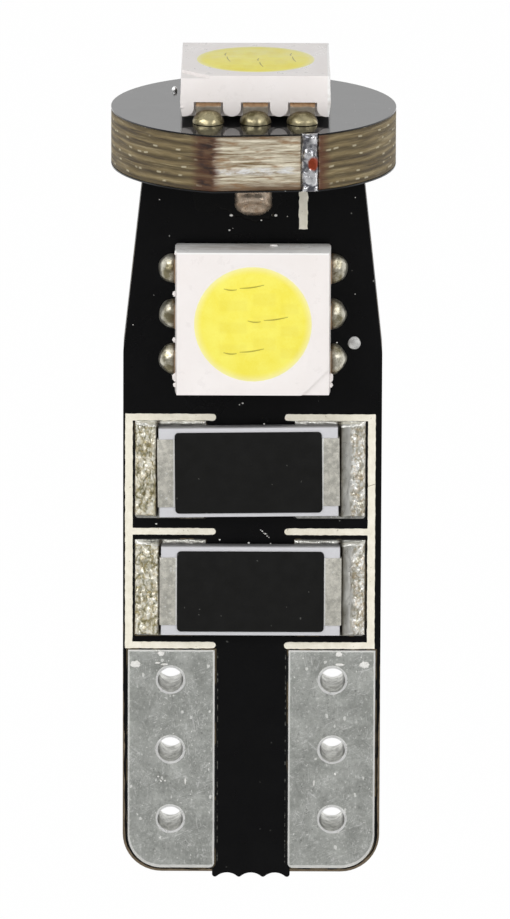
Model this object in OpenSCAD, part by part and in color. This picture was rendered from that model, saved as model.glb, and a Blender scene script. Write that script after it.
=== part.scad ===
// Wedge base LED bulb: an upright blade board with contact pads, chip resistors
// and an LED on each face, and a disc board on top that carries a third LED.
// X runs across the blade, the front faces -Y and +Z is up.
// The origin is the middle of the blade's bottom edge.

/* [Blade board] */
// Width of the blade over its straight part
blade_w = 8.88; // [8:0.02:10]
// How far each side leans in towards the disc
blade_lean = 0.7; // [0.4:0.05:0.9]
// Height of the blade, from its bottom edge to the disc
blade_h = 24.95; // [22:0.05:30]
// Distance of the shoulders, where the sides start to lean in, below the side LED's middle
shoulder_drop = 1.385; // [0.5:0.005:3]
// Thickness of the blade's laminate
blade_t = 1.86; // [1.4:0.02:2.2]
// Radius of the blade's bottom corners
corner_r = 1.35; // [0.8:0.05:1.8]
// How far the broken-off tab stands below the bottom edge
tab_drop = 0.2; // [0.14:0.01:0.4]
// Scallops that the drilled break line left in the tab
bite_count = 3; // [2:1:3]
// Distance between two scallops
bite_pitch = 0.83; // [0.7:0.01:0.9]
// Radius of a drilled scallop
bite_r = 0.54; // [0.5:0.02:0.7]
// Radius of the worn points beside the scallops
point_r = 0.1; // [0.06:0.01:0.12]

/* [Copper and solder mask] */
// Thickness of the tinned copper foil
foil_t = 0.07; // [0.05:0.01:0.1]
// Thickness of the solder mask
mask_t = 0.05; // [0.03:0.01:0.06]
// Bare laminate left between copper and mask
mask_gap = 0.05; // [0.03:0.01:0.08]
// Thickness of the printed legend
legend_t = 0.03; // [0.02:0.01:0.05]

/* [Contact pads] */
// Width of a contact pad
contact_w = 3; // [2.6:0.05:3.3]
// Bare edge between a contact pad and the blade's side
contact_edge = 0.17; // [0.1:0.01:0.25]
// Bare edge below a contact pad
contact_foot = 0.12; // [0.08:0.01:0.25]
// Radius of a pad's inner bottom corner
contact_in_r = 0.18; // [0.1:0.01:0.4]
// Bore of the plated holes through the pads
barrel_bore = 0.86; // [0.6:0.02:1.1]
// Wall of the plated holes
barrel_wall = 0.07; // [0.04:0.01:0.12]
// Distance of the plated holes from the pad's outer side
barrel_in = 1.475; // [1.3:0.005:1.7]
// Distance between two plated holes
barrel_pitch = 2.49; // [2.1:0.01:2.6]
// Least pad above the topmost hole
barrel_margin = 0.3; // [0.2:0.01:0.5]
// Height of the lowest plated hole
barrel_z = 1.89; // [1.6:0.01:2.2]

/* [Disc board] */
// Diameter of the disc
disc_d = 9.75; // [9:0.05:11]
// Thickness of the disc's laminate
disc_t = 1.9; // [1.4:0.02:2.2]
// Width of the flat that the broken-off tab left
flat_w = 3.6; // [2.6:0.05:4.4]
// Turn of the flat about the bulb's axis
flat_turn = 5.5; // [0:0.5:12]
// Diameter of the plated half hole in the flat
edge_hole_d = 0.6; // [0.4:0.02:0.7]
// Distance of the half hole's axis from the end of the flat
edge_hole_in = 0.31; // [0.31:0.01:0.7]

/* [LED package] */
// Length of the housing across its leads
led_l = 5.32; // [5.1:0.02:5.4]
// Width of the housing along its lead rows
led_w = 5.12; // [4.8:0.02:5.3]
// Height of the housing above its lands
led_h = 1.6; // [1.4:0.02:1.9]
// Lean of the moulded sides away from the parting line
led_draft = 0.06; // [0.02:0.01:0.12]
// Gap between the lands and the housing's underside
led_standoff = 0.18; // [0.16:0.01:0.22]
// Diameter of the phosphor window
window_d = 4.02; // [3.7:0.02:4.3]
// Diameter of the cavity's floor
floor_d = 3.5; // [3.4:0.02:3.6]
// Legs of the stepped polarity corner
corner_leg = 1.05; // [0.4:0.05:1.2]
// Depth of the stepped polarity corner
corner_step = 0.1; // [0.04:0.01:0.2]
// Height of the leads' shoulders above the lands
lead_z = 0.69; // [0.6:0.01:0.76]
// Width of a lead
lead_w = 0.85; // [0.7:0.01:0.95]
// Thickness of a lead
lead_t = 0.15; // [0.1:0.01:0.2]
// Distance between two leads of a row
lead_pitch = 1.6; // [1.5:0.01:1.65]
// How far the leads stand out of the housing
lead_proud = 0.04; // [0.02:0.01:0.08]
// Length of the foot folded under the housing
foot_l = 0.8; // [0.5:0.02:0.9]
// Room beside and behind a lead in its pocket
pocket_room = 0.07; // [0.03:0.01:0.1]
// Width of a lead's flag on the cavity floor
flag_w = 1.25; // [1.1:0.01:1.35]
// How far the flags reach into the housing round the cavity
flag_bite = 0.15; // [0.05:0.01:0.2]
// Gap between the flags that face each other
flag_gap = 0.24; // [0.15:0.01:0.34]
// Distance of that gap from the middle of the cavity
flag_shift = 0.22; // [0.16:0.01:0.3]
// Length of a die
die_l = 0.56; // [0.4:0.02:0.7]
// Width of a die
die_w = 0.3; // [0.2:0.02:0.32]
// Thickness of a die
die_t = 0.12; // [0.08:0.01:0.2]
// Distance of a die from the middle of the cavity, along its flag
die_shift = 0.48; // [0.4:0.01:0.6]
// Distance of an outer die's row from the middle one
die_row = 1.16; // [1.14:0.01:1.3]
// Thickness of the gold bond wires
wire_d = 0.04; // [0.03:0.01:0.06]
// Span of the wire down to the die's own flag
near_span = 0.38; // [0.3:0.02:0.5]
// Distance of the bonds from the die's ends
wire_in = 0.08; // [0.05:0.01:0.12]
// Distance of the far wire's bond from the edge of its flag
bond_in = 0.17; // [0.08:0.01:0.25]

/* [Chip resistor] */
// Length of a chip
chip_l = 6.25; // [6:0.02:6.4]
// Width of a chip
chip_w = 3.14; // [3:0.02:3.3]
// Thickness of a chip
chip_t = 0.6; // [0.45:0.01:0.75]
// Thickness of the terminals and of the overcoat
film_t = 0.05; // [0.03:0.01:0.08]
// Length of a terminal along the chip
terminal_l = 0.6; // [0.4:0.01:0.8]
// Width of a terminal
terminal_w = 2.4; // [2:0.02:2.9]
// Bare ceramic beside the overcoat
coat_margin = 0.14; // [0.08:0.01:0.4]
// Radius of the overcoat's corners
coat_r = 0.14; // [0.06:0.01:0.4]

/* [Places] */
// Gap between the board joint and the side LED below it
neck_gap = 0.885; // [0.7:0.005:1.4]
// Gap between the side LED and the top legend line
led_gap = 1.115; // [0.9:0.005:1.5]
// Shift of the top LED from the bulb's axis
top_led_x = 0.06; // [-0.1:0.01:0.15]
// Sideways shift of the chip rows and the print against the sawn blade
pattern_x = -0.07; // [-0.07:0.01:0.07]
// Shift of the lower chips from the middle of their frame
lower_row_z = 0.03; // [0:0.005:0.1]
// Shift of the upper chips from the middle of their frame
upper_row_z = 0.15; // [0:0.01:0.15]
// How far the lower chip sits above the middle of its lands
lower_chip_rise = 0.01; // [-0.06:0.01:0.08]
// How far the upper chip sits above the middle of its lands
upper_chip_rise = 0.06; // [-0.06:0.01:0.08]
// Sideways shift of the lower chip on its lands
lower_chip_x = 0.02; // [-0.15:0.01:0.15]
// Sideways shift of the upper chip on its lands
upper_chip_x = -0.06; // [-0.15:0.01:0.15]
// Turn of the upper chip on its lands
upper_chip_turn = 0.7; // [-1:0.1:1]
// Gap between the solder-filled via and the beads of the side LED
via_gap = 0.045; // [0.02:0.005:0.1]
// Distance of the via below the side LED's middle
via_drop = 1.04; // [0.6:0.01:1.3]
// Diameter of the via
via_d = 0.41; // [0.3:0.01:0.44]

/* [Solder lands] */
// Width of a land under an LED lead
led_land_w = 0.86; // [0.8:0.01:0.9]
// How far a land reaches out beyond the housing
led_land_toe = 0.22; // [0.1:0.01:0.24]
// How far a land reaches in under the housing
led_land_heel = 0.85; // [0.8:0.01:1]
// Length of a land under a chip's end
chip_land_l = 2.42; // [1.8:0.02:2.6]
// How far a land is wider than the chip on each side
chip_land_side = 0.13; // [0.1:0.01:0.16]
// Board between a chip's land and the side of the blade
chip_land_margin = 0.485; // [0.46:0.005:0.6]

/* [Solder] */
// Width of the bead on an LED lead
bead_w = 1.06; // [0.88:0.01:1.08]
// Height of the bead on an LED lead
bead_h = 0.44; // [0.3:0.01:0.5]
// Height of the fillet at a chip's end
fillet_h = 0.46; // [0.3:0.01:0.5]
// Height of the fillet where it thins out on the land
fillet_toe_h = 0.1; // [0.05:0.01:0.2]
// Radius of the hollow in the fillet
fillet_r = 1.2; // [0.8:0.05:2]
// Width of the joint between blade and disc
joint_w = 1.28; // [0.9:0.02:1.5]
// How far the joint runs down the blade
joint_h = 1.62; // [1.2:0.02:1.66]

/* [Legend] */
// Width of the lines that cross the blade
cross_line_w = 0.23; // [0.16:0.01:0.24]
// Width of the lines that run up the blade
rise_line_w = 0.26; // [0.2:0.01:0.28]
// Gap between a line that runs up the blade and the chip lands beside it
rise_gap = 0.085; // [0.06:0.005:0.09]
// Mean gap between a crossing line and the chip lands beside it
row_margin = 0.21; // [0.2:0.005:0.4]
// Gap between the mask's edge over a contact pad and the first crossing line
legend_gap = 0.01; // [0.01:0.01:0.08]
// Distance of the lines' inner ends from the axis
cross_line_in = 1.18; // [0.8:0.02:1.4]
// Width of the polarity bar under the disc
bar_w = 0.3; // [0.2:0.01:0.32]
// Length of the polarity bar
bar_l = 2.1; // [1:0.05:2.2]
// Distance of the polarity bar from the axis
bar_x = 1.78; // [1.3:0.02:2.4]

/* [Hidden] */
$fn = 72;
SKIN = 0.01;
LED_SIDES = ["front", "back", "top"];
CHIP_SIDES = ["front", "back"];
CHIP_ROWS = ["lower", "upper"];
LED_PARTS = ["housing", "leads", "dies", "wires", "lens", "solder"];
CHIP_PARTS = ["ceramic", "overcoat", "terminals", "solder"];

// Levels out from the blade's middle plane
face_y = blade_t / 2;
land_y = face_y + foil_t;
mask_y = face_y + mask_t;

// Levels of the disc: its laminate lies between two masks
disc_z = blade_h + mask_t;
disc_top_z = disc_z + disc_t;
top_land_z = disc_top_z + foil_t;

// Lands of the chips, between the two sides of the blade
chip_land_out = blade_w / 2 - chip_land_margin;
chip_land_toe = chip_land_out - chip_l / 2;
chip_land_w = chip_w + 2 * chip_land_side;

// Heights on the blade, from the disc down: LED, legend lines, chip rows and contact pads
side_led_z = blade_h - joint_h - neck_gap - led_w / 2;
shoulder_z = side_led_z - shoulder_drop;
frame_pitch = chip_land_w + cross_line_w + 2 * row_margin;
top_line_z = side_led_z - led_w / 2 - led_gap;
line_zs = [for (i = [0 : 2]) top_line_z - (2 - i) * frame_pitch];
lower_row = (line_zs[0] + line_zs[1]) / 2 + lower_row_z;
upper_row = (line_zs[1] + line_zs[2]) / 2 + upper_row_z;
rise_line_x = chip_land_out + rise_gap + rise_line_w / 2;
contact_top = line_zs[0] - cross_line_w / 2 - legend_gap - mask_gap;

// Contact pads, from the blade's sides in, with as many plated holes as fit
contact_h = contact_top - contact_foot;
contact_out = blade_w / 2 - contact_edge;
contact_in = contact_out - contact_w;
barrel_x = contact_out - barrel_in;
barrel_od = barrel_bore + 2 * barrel_wall;
barrel_room = contact_top - barrel_margin - barrel_od / 2 - barrel_z;
barrel_count = max(1, 1 + floor(barrel_room / barrel_pitch));

// Via beside the side LED
via_x = led_l / 2 + lead_proud + bead_w / 2 + via_gap + via_d / 2;
via_z = side_led_z - via_drop;

// Tab left by a drilled break line: its points are rounds that touch the scallops beside them
point_x = bite_count * bite_pitch / 2;
point_z = point_r - tab_drop;
bite_z = point_z - sqrt(pow(bite_r + point_r, 2) - pow(bite_pitch / 2, 2));
touch_z = point_z + (bite_z - point_z) * point_r / (bite_r + point_r);

// Flat of the disc: a chord of its rim
disc_r = disc_d / 2;
flat_reach = sqrt(pow(disc_r, 2) - pow(flat_w / 2, 2));
edge_hole_x = flat_w / 2 - edge_hole_in;

// LED package
lead_out = led_l / 2 + lead_proud;
bend_r = 1.3 * lead_t;
lead_ys = [for (i = [-1 : 1]) i * lead_pitch];
bead_r = (pow(bead_w / 2, 2) + pow(bead_h, 2)) / (2 * bead_h);
wire_start = die_l / 2 - wire_in;
far_span = die_shift - wire_start + flag_shift + flag_gap / 2 + bond_in;

// Chip resistor
coat_l = chip_l - 2 * terminal_l;
coat_w = chip_w - 2 * coat_margin;

// Turns a front piece to the back of the blade
module to_back() {
    rotate([0, 0, 180]) children();
}

// Raises an outline drawn in X and Z out of the blade's front face
module on_front(from_y, t) {
    translate([0, -from_y, 0]) rotate([90, 0, 0]) linear_extrude(t) children();
}

// Puts a part built with its lands at Z = 0 on the blade's front
module stand_on_front(x, z) {
    translate([x, -land_y, z]) rotate([90, 0, 0]) children();
}

// Square corner outside a round of radius r whose corner point is the origin
module corner_waste(r) {
    difference() {
        translate([-SKIN, -SKIN]) square(r + SKIN);
        translate([r, r]) circle(r);
    }
}

// Rectangle about the origin with all its corners rounded
module soft_rect(l, w, r) {
    square([l - 2 * r, w], center = true);
    square([l, w - 2 * r], center = true);
    for (x = [-1, 1], y = [-1, 1])
        translate([x * (l / 2 - r), y * (w / 2 - r)]) circle(r);
}

// Outline of the blade in X and Z, without the tab
module blade_body_2d() {
    difference() {
        polygon([
            [-blade_w / 2, 0], [blade_w / 2, 0],
            [blade_w / 2, shoulder_z], [blade_w / 2 - blade_lean, blade_h],
            [blade_lean - blade_w / 2, blade_h], [-blade_w / 2, shoulder_z]]);
        for (side = [0, 1])
            mirror([side, 0]) translate([-blade_w / 2, 0]) corner_waste(corner_r);
    }
}

// Broken-off tab, with a scallop where each drilled hole was and a worn point beside each
module tab_2d() {
    half_w = point_x + point_r;
    difference() {
        union() {
            translate([-half_w, point_z]) square([2 * half_w, corner_r]);
            translate([-point_x, touch_z]) square([2 * point_x, corner_r]);
            for (i = [0 : bite_count])
                translate([i * bite_pitch - point_x, point_z]) circle(point_r);
        }
        for (i = [0 : bite_count - 1])
            translate([(i + 0.5) * bite_pitch - point_x, bite_z]) circle(bite_r);
    }
}

module blade_2d() {
    union() {
        blade_body_2d();
        tab_2d();
    }
}

// Contact pad on one side of the blade (side is -1 or 1), grown by g all round
module contact_2d(side, g = 0) {
    mirror([side > 0 ? 0 : 1, 0])
        difference() {
            translate([contact_in - g, contact_foot - g])
                square([contact_w + 2 * g, contact_h + 2 * g]);
            translate([contact_out + g, contact_foot - g])
                mirror([1, 0]) corner_waste(corner_r - contact_edge + g);
            translate([contact_in - g, contact_foot - g]) corner_waste(contact_in_r + g);
        }
}

// Places of the plated holes in both contact pads
module at_barrels(sides) {
    for (side = sides, i = [0 : barrel_count - 1])
        translate([side * barrel_x, 0, barrel_z + i * barrel_pitch])
            rotate([90, 0, 0]) children();
}

// Lands under the six leads of an LED, in the LED's own plane
module led_lands_2d(g = 0) {
    for (side = [-1, 1], y = lead_ys)
        translate([side * (led_l / 2 + (led_land_toe - led_land_heel) / 2), y])
            square([led_land_toe + led_land_heel + 2 * g, led_land_w + 2 * g], center = true);
}

// Lands under both ends of a chip, in the chip's own plane
module chip_lands_2d(g = 0) {
    for (side = [-1, 1])
        translate([side * (chip_land_out - chip_land_l / 2), 0])
            soft_rect(chip_land_l + 2 * g, chip_land_w + 2 * g, 0.12);
}

// Land at the blade's top edge for the joint to the disc
module joint_land_2d(g = 0) {
    translate([-joint_w / 2 - g, blade_h - joint_h - g])
        square([joint_w + 2 * g, joint_h + g + (g > 0 ? SKIN : 0)]);
}

// Every land on one face of the blade, apart from the contact pads
module face_lands_2d(g = 0) {
    translate([0, side_led_z]) led_lands_2d(g);
    translate([pattern_x, lower_row]) chip_lands_2d(g);
    translate([pattern_x, upper_row]) chip_lands_2d(g);
    joint_land_2d(g);
}

// The via's bore through both masks and the laminate
module via_bore() {
    translate([via_x, 0, via_z]) rotate([90, 0, 0])
        cylinder(d = via_d, h = 2 * land_y, center = true);
}

// Laminate of the blade, drilled for the plated holes and the via
module blade_board() {
    color("darkolivegreen")
        difference() {
            on_front(-face_y, blade_t) blade_2d();
            at_barrels([-1, 1]) cylinder(d = barrel_od, h = 2 * blade_t, center = true);
            via_bore();
        }
}

// Solder mask on one face of the blade, open over every piece of copper
module face_mask() {
    on_front(face_y, mask_t)
        difference() {
            blade_2d();
            contact_2d(-1, mask_gap);
            contact_2d(1, mask_gap);
            face_lands_2d(mask_gap);
        }
}

module blade_mask_front() {
    color([0.06, 0.06, 0.07])
        difference() {
            face_mask();
            via_bore();
        }
}

module blade_mask_back() {
    color([0.06, 0.06, 0.07])
        difference() {
            to_back() face_mask();
            via_bore();
        }
}

// Pad on each face joined by plated holes, for the side -1 or 1
module contact(side) {
    color("silver")
        difference() {
            union() {
                on_front(face_y, foil_t) contact_2d(side);
                to_back() on_front(face_y, foil_t) contact_2d(-side);
                at_barrels([side]) cylinder(d = barrel_od, h = 2 * land_y, center = true);
            }
            at_barrels([side]) cylinder(d = barrel_bore, h = 3 * land_y, center = true);
        }
}

module left_contact() {
    contact(-1);
}

module right_contact() {
    contact(1);
}

// One line that crosses the blade, with a round inner end
module cross_line_2d(z) {
    translate([cross_line_in + cross_line_w / 2, z]) circle(d = cross_line_w);
    translate([cross_line_in + cross_line_w / 2, z - cross_line_w / 2])
        square([rise_line_x - cross_line_in - cross_line_w / 2, cross_line_w]);
}

// Printed frame round the chips on the right half of the blade
module frame_2d() {
    for (z = line_zs) cross_line_2d(z);
    translate([rise_line_x - rise_line_w / 2, line_zs[0] - cross_line_w / 2])
        square([rise_line_w, line_zs[2] - line_zs[0] + cross_line_w]);
}

// Printed frames and the polarity bar
module legend() {
    color("ivory")
        on_front(mask_y, legend_t) translate([pattern_x, 0]) {
            frame_2d();
            mirror([1, 0]) frame_2d();
            translate([bar_x - bar_w / 2, blade_h - bar_l]) square([bar_w, bar_l]);
        }
}

// Runs along the flat of the disc: X along it, Y out of it
module at_flat() {
    rotate([0, 0, flat_turn]) translate([0, -flat_reach, 0]) children();
}

module disc_2d() {
    difference() {
        circle(disc_r);
        at_flat() translate([-flat_w, -disc_r]) square([2 * flat_w, disc_r]);
    }
}

// Bore of the half hole in the disc's flat
module edge_bore_2d() {
    at_flat() translate([edge_hole_x, 0]) circle(d = edge_hole_d);
}

// Laminate of the disc, with the half hole in its flat
module disc_board() {
    color([0.43, 0.39, 0.29])
        translate([0, 0, disc_z]) linear_extrude(disc_t)
            difference() {
                disc_2d();
                edge_bore_2d();
            }
}

// Places the top LED over the disc, leads to front and back
module at_top_led() {
    translate([top_led_x, 0]) rotate([0, 0, -90]) children();
}

// Mask on top of the disc, open over the LED's lands
module disc_mask_top() {
    color([0.06, 0.06, 0.07])
        translate([0, 0, disc_top_z]) linear_extrude(mask_t)
            difference() {
                disc_2d();
                edge_bore_2d();
                at_top_led() led_lands_2d(mask_gap);
            }
}

// Land under the disc, where a joint climbs off the blade
module disc_joint_land_2d(g = 0) {
    for (turn = [0, 180])
        rotate([0, 0, turn]) translate([-joint_w / 2 - g, -land_y - joint_w / 2 - g])
            square([joint_w + 2 * g, joint_w / 2 + g + (g > 0 ? foil_t : 0)]);
}

// Mask under the disc, open over the joints' lands
module disc_mask_bottom() {
    color([0.06, 0.06, 0.07])
        translate([0, 0, blade_h]) linear_extrude(mask_t)
            difference() {
                disc_2d();
                edge_bore_2d();
                disc_joint_land_2d(mask_gap);
            }
}

module face_lands() {
    color("silver") on_front(face_y, foil_t) face_lands_2d();
}

module top_lands() {
    color("silver")
        translate([0, 0, disc_top_z]) linear_extrude(foil_t) at_top_led() led_lands_2d();
}

module joint_lands() {
    color("silver")
        translate([0, 0, blade_h]) linear_extrude(mask_t) disc_joint_land_2d();
}

// Barrel of the via, filled with solder
module signal_via() {
    color("silver") via_bore();
}

// Plating and solder in the disc's half hole
module edge_solder() {
    color("silver")
        translate([0, 0, blade_h]) linear_extrude(disc_t + 2 * mask_t)
            intersection() {
                edge_bore_2d();
                disc_2d();
            }
}

// Solder drop that joins the blade to the disc
module joint_solder() {
    r = joint_w / 2;
    color("rosybrown")
        translate([0, -land_y, blade_h - joint_h])
            intersection() {
                union() {
                    translate([0, 0, r]) sphere(r);
                    translate([0, 0, r]) cylinder(r = r, h = joint_h - r);
                }
                translate([-r, -r, 0]) cube([joint_w, r, joint_h]);
            }
}

// Side view of the moulded housing: widest at the parting line
module housing_side_2d(w) {
    polygon([
        [led_draft - w / 2, led_standoff], [w / 2 - led_draft, led_standoff],
        [w / 2, lead_z], [w / 2 - led_draft, led_h],
        [led_draft - w / 2, led_h], [-w / 2, lead_z]]);
}

// Opening round a lead in the housing's side, flared by the lobes' round feet
module pocket_2d() {
    half = lead_w / 2 + pocket_room;
    lobe_r = (lead_pitch - 2 * half) / 2;
    translate([-half, -SKIN]) square([2 * half, lead_z + SKIN]);
    for (side = [0, 1])
        mirror([side, 0])
            difference() {
                translate([half - SKIN, 0]) square([lobe_r + SKIN, led_standoff + lobe_r]);
                translate([half + lobe_r, led_standoff + lobe_r]) circle(lobe_r);
            }
}

// Side view of a lead: flag, shoulder, drop and foot folded under
module lead_side_2d(flag_in) {
    difference() {
        translate([flag_in, 0]) square([lead_out - flag_in, lead_z]);
        translate([flag_in - SKIN, lead_t])
            square([lead_out - lead_t - flag_in + SKIN, lead_z - 2 * lead_t]);
        translate([flag_in - SKIN, -SKIN])
            square([lead_out - foot_l - flag_in + SKIN, lead_t + 2 * SKIN]);
        translate([lead_out, 0]) mirror([1, 0]) corner_waste(bend_r);
        translate([lead_out, lead_z]) mirror([1, 0]) mirror([0, 1]) corner_waste(bend_r);
    }
}

// A bent lead along +X in the row at y, with its wide flag round the cavity's floor
module lead(flag_in, y) {
    translate([0, y + lead_w / 2, 0]) rotate([90, 0, 0])
        linear_extrude(lead_w) lead_side_2d(flag_in);
    intersection() {
        translate([flag_in, y - flag_w / 2, lead_z - lead_t]) cube([floor_d, flag_w, lead_t]);
        cylinder(d = floor_d + 2 * flag_bite, h = led_h);
    }
}

// Six leads: the outer rows carry their dies on the left flag, the middle row on the right
module all_leads() {
    for (i = [0 : 2]) {
        shift = i == 1 ? -flag_shift : flag_shift;
        lead(shift + flag_gap / 2, lead_ys[i]);
        mirror([1, 0, 0]) lead(flag_gap / 2 - shift, lead_ys[i]);
    }
}

module led_leads() {
    color("silver") all_leads();
}

// Cavity over the lead flags, opening towards the window
module cavity(h) {
    translate([0, 0, lead_z])
        cylinder(d1 = floor_d, d2 = floor_d + (window_d - floor_d) * h / (led_h - lead_z), h = h);
}

// Step that marks the polarity corner of the housing
module polarity_corner() {
    translate([led_l / 2, -led_w / 2, led_h - corner_step]) rotate([0, 0, 45])
        translate([-led_l, -led_w, 0])
            cube([2 * led_l, led_w + corner_leg * sqrt(0.5), 2 * corner_step]);
}

// Moulded housing: drafted block with lead pockets, cavity and polarity corner
module led_housing() {
    color("linen")
        difference() {
            intersection() {
                rotate([90, 0, 0]) translate([0, 0, -led_w])
                    linear_extrude(2 * led_w) housing_side_2d(led_l);
                rotate([90, 0, 90]) translate([0, 0, -led_l])
                    linear_extrude(2 * led_l) housing_side_2d(led_w);
            }
            for (side = [0, 1], y = lead_ys)
                mirror([side, 0, 0])
                    translate([lead_out - lead_t - pocket_room, y, 0])
                        rotate([90, 0, 90]) linear_extrude(led_l) pocket_2d();
            all_leads();
            cavity(led_h);
            polarity_corner();
        }
}

// Places of the three dies on their flags, each with the far flag towards its own +X
module at_dies() {
    for (i = [-1 : 1])
        mirror([i == 0 ? 1 : 0, 0, 0]) translate([-die_shift, i * die_row, lead_z]) children();
}

module dies() {
    at_dies() translate([-die_l / 2, -die_w / 2, 0]) cube([die_l, die_w, die_t]);
}

module led_dies() {
    color("lightsteelblue") dies();
}

// One bond wire: a half loop out of the die's top and down to a flag
module wire(span) {
    translate([wire_start + span / 2, 0, die_t]) rotate([90, 0, 0])
        rotate_extrude(angle = 180) translate([span / 2, 0]) circle(d = wire_d, $fn = 8);
    translate([wire_start + span, 0, 0]) cylinder(d = wire_d, h = die_t, $fn = 8);
}

// Bond wires: from each die to the far flag, and from its other end to its own
module wires() {
    at_dies() {
        wire(far_span);
        mirror([1, 0, 0]) wire(near_span);
    }
}

module led_wires() {
    color("gold") wires();
}

// Phosphor silicone that fills the cavity over the dies
module led_lens() {
    color([0.98, 0.93, 0.4])
        difference() {
            cavity(led_h - lead_z);
            dies();
            wires();
        }
}

// Round bead of solder outside each lead
module led_solder() {
    color("gray")
        for (side = [0, 1], y = lead_ys)
            mirror([side, 0, 0]) translate([lead_out, y, 0])
                intersection() {
                    translate([0, 0, bead_h - bead_r]) sphere(bead_r);
                    translate([0, -bead_w, 0]) cube([bead_w, 2 * bead_w, bead_h]);
                }
}

// Alumina body of a chip, inside its terminals
module chip_ceramic() {
    color("white")
        translate([0, 0, chip_t / 2])
            cube([chip_l - 2 * film_t, chip_w, chip_t - 2 * film_t], center = true);
}

// Black overcoat between the terminals
module chip_overcoat() {
    color([0.12, 0.12, 0.12])
        translate([0, 0, chip_t - film_t]) linear_extrude(film_t)
            soft_rect(coat_l, coat_w, coat_r);
}

// Terminals wrapped round both ends of a chip
module chip_terminals() {
    color("silver")
        difference() {
            for (side = [0, 1])
                mirror([side, 0, 0])
                    translate([chip_l / 2 - terminal_l, -terminal_w / 2, 0])
                        cube([terminal_l, terminal_w, chip_t]);
            chip_ceramic();
        }
}

// Hollow fillet from a chip's end down to the end of its land
module fillet_2d() {
    chord = [chip_land_toe, fillet_toe_h - fillet_h];
    half = norm(chord) / 2;
    sag = sqrt(pow(fillet_r, 2) - pow(half, 2));
    out = [-chord[1], chord[0]] / norm(chord);
    difference() {
        translate([-terminal_l / 2, 0]) square([terminal_l / 2 + chip_land_toe, fillet_h]);
        translate([chord[0] / 2 + sag * out[0], (fillet_h + fillet_toe_h) / 2 + sag * out[1]])
            circle(fillet_r);
    }
}

// Solder at both ends of a chip, cut to the chip as it lies on its lands
module chip_solder(row) {
    color("gray")
        difference() {
            for (side = [0, 1])
                mirror([side, 0, 0]) translate([chip_l / 2, 0, 0]) rotate([90, 0, 0])
                    translate([0, 0, -chip_w / 2 - chip_rise(row)]) linear_extrude(chip_w) fillet_2d();
            on_lands(row) translate([-chip_l / 2, -chip_w, -chip_t])
                cube([chip_l, 2 * chip_w, 3 * chip_t]);
        }
}

// Places a part built with its lands at Z = 0 where one LED stands
module at_led(side) {
    if (side == "front") stand_on_front(0, side_led_z) children();
    if (side == "back") to_back() stand_on_front(0, side_led_z) children();
    if (side == "top")
        translate([top_led_x, 0, top_land_z]) rotate([0, 0, -90]) children();
}

// Places the lands of one chip
module at_chip_lands(side, row) {
    z = row == "lower" ? lower_row : upper_row;
    if (side == "front") stand_on_front(pattern_x, z) children();
    if (side == "back") to_back() stand_on_front(pattern_x, z) children();
}

function chip_rise(row) = row == "lower" ? lower_chip_rise : upper_chip_rise;

// Shifts and turns a chip as it lies on its lands
module on_lands(row) {
    translate([row == "lower" ? lower_chip_x : upper_chip_x, chip_rise(row), 0])
        rotate([0, 0, row == "lower" ? 0 : upper_chip_turn]) children();
}

// Places one chip on the blade
module at_chip(side, row) {
    at_chip_lands(side, row) on_lands(row) children();
}

blade_board();
blade_mask_front();
blade_mask_back();
left_contact();
right_contact();
legend();  // front_legend
to_back() legend();  // back_legend
disc_board();
disc_mask_top();
disc_mask_bottom();
face_lands();  // front_lands
to_back() face_lands();  // back_lands
top_lands();
joint_lands();
signal_via();
edge_solder();
joint_solder();  // front_joint_solder
to_back() joint_solder();  // back_joint_solder
for (side = LED_SIDES) {
    at_led(side) led_housing();
    at_led(side) led_leads();
    at_led(side) led_dies();
    at_led(side) led_wires();
    at_led(side) led_lens();
    at_led(side) led_solder();
}
for (side = CHIP_SIDES, row = CHIP_ROWS) {
    chip = str(side, "_", row, "_resistor_");
    at_chip(side, row) chip_ceramic();
    at_chip(side, row) chip_overcoat();
    at_chip(side, row) chip_terminals();
    at_chip_lands(side, row) chip_solder(row);
}
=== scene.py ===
"""Looks of the wedge base LED bulb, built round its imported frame.

Meshes are worked out in millimetres in the frame's own axes: X across the blade,
the front faces -Y and +Z is up. They are scaled to metres as the pieces are made.
"""

import math
import random

import bmesh
import bpy
import numpy as np
from mathutils import Matrix, Vector, noise


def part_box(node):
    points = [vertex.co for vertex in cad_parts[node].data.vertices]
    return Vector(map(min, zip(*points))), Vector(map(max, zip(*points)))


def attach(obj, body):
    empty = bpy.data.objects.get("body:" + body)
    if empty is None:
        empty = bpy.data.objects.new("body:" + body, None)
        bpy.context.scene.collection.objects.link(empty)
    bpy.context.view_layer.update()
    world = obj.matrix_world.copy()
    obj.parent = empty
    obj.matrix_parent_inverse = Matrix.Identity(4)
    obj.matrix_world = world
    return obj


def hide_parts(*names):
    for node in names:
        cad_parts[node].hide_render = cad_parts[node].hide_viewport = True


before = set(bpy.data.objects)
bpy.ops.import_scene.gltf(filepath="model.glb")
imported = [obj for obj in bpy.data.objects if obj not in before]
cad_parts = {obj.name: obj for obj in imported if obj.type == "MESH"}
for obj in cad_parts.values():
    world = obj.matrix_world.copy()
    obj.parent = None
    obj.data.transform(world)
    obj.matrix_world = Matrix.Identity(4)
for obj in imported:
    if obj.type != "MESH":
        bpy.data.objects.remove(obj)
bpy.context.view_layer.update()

MM = 0.001
IDENTITY = Matrix.Identity(4)


def mm_box(node):
    """Lowest and highest corner of a node, in millimetres."""
    low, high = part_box(node)
    return low / MM, high / MM


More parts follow.
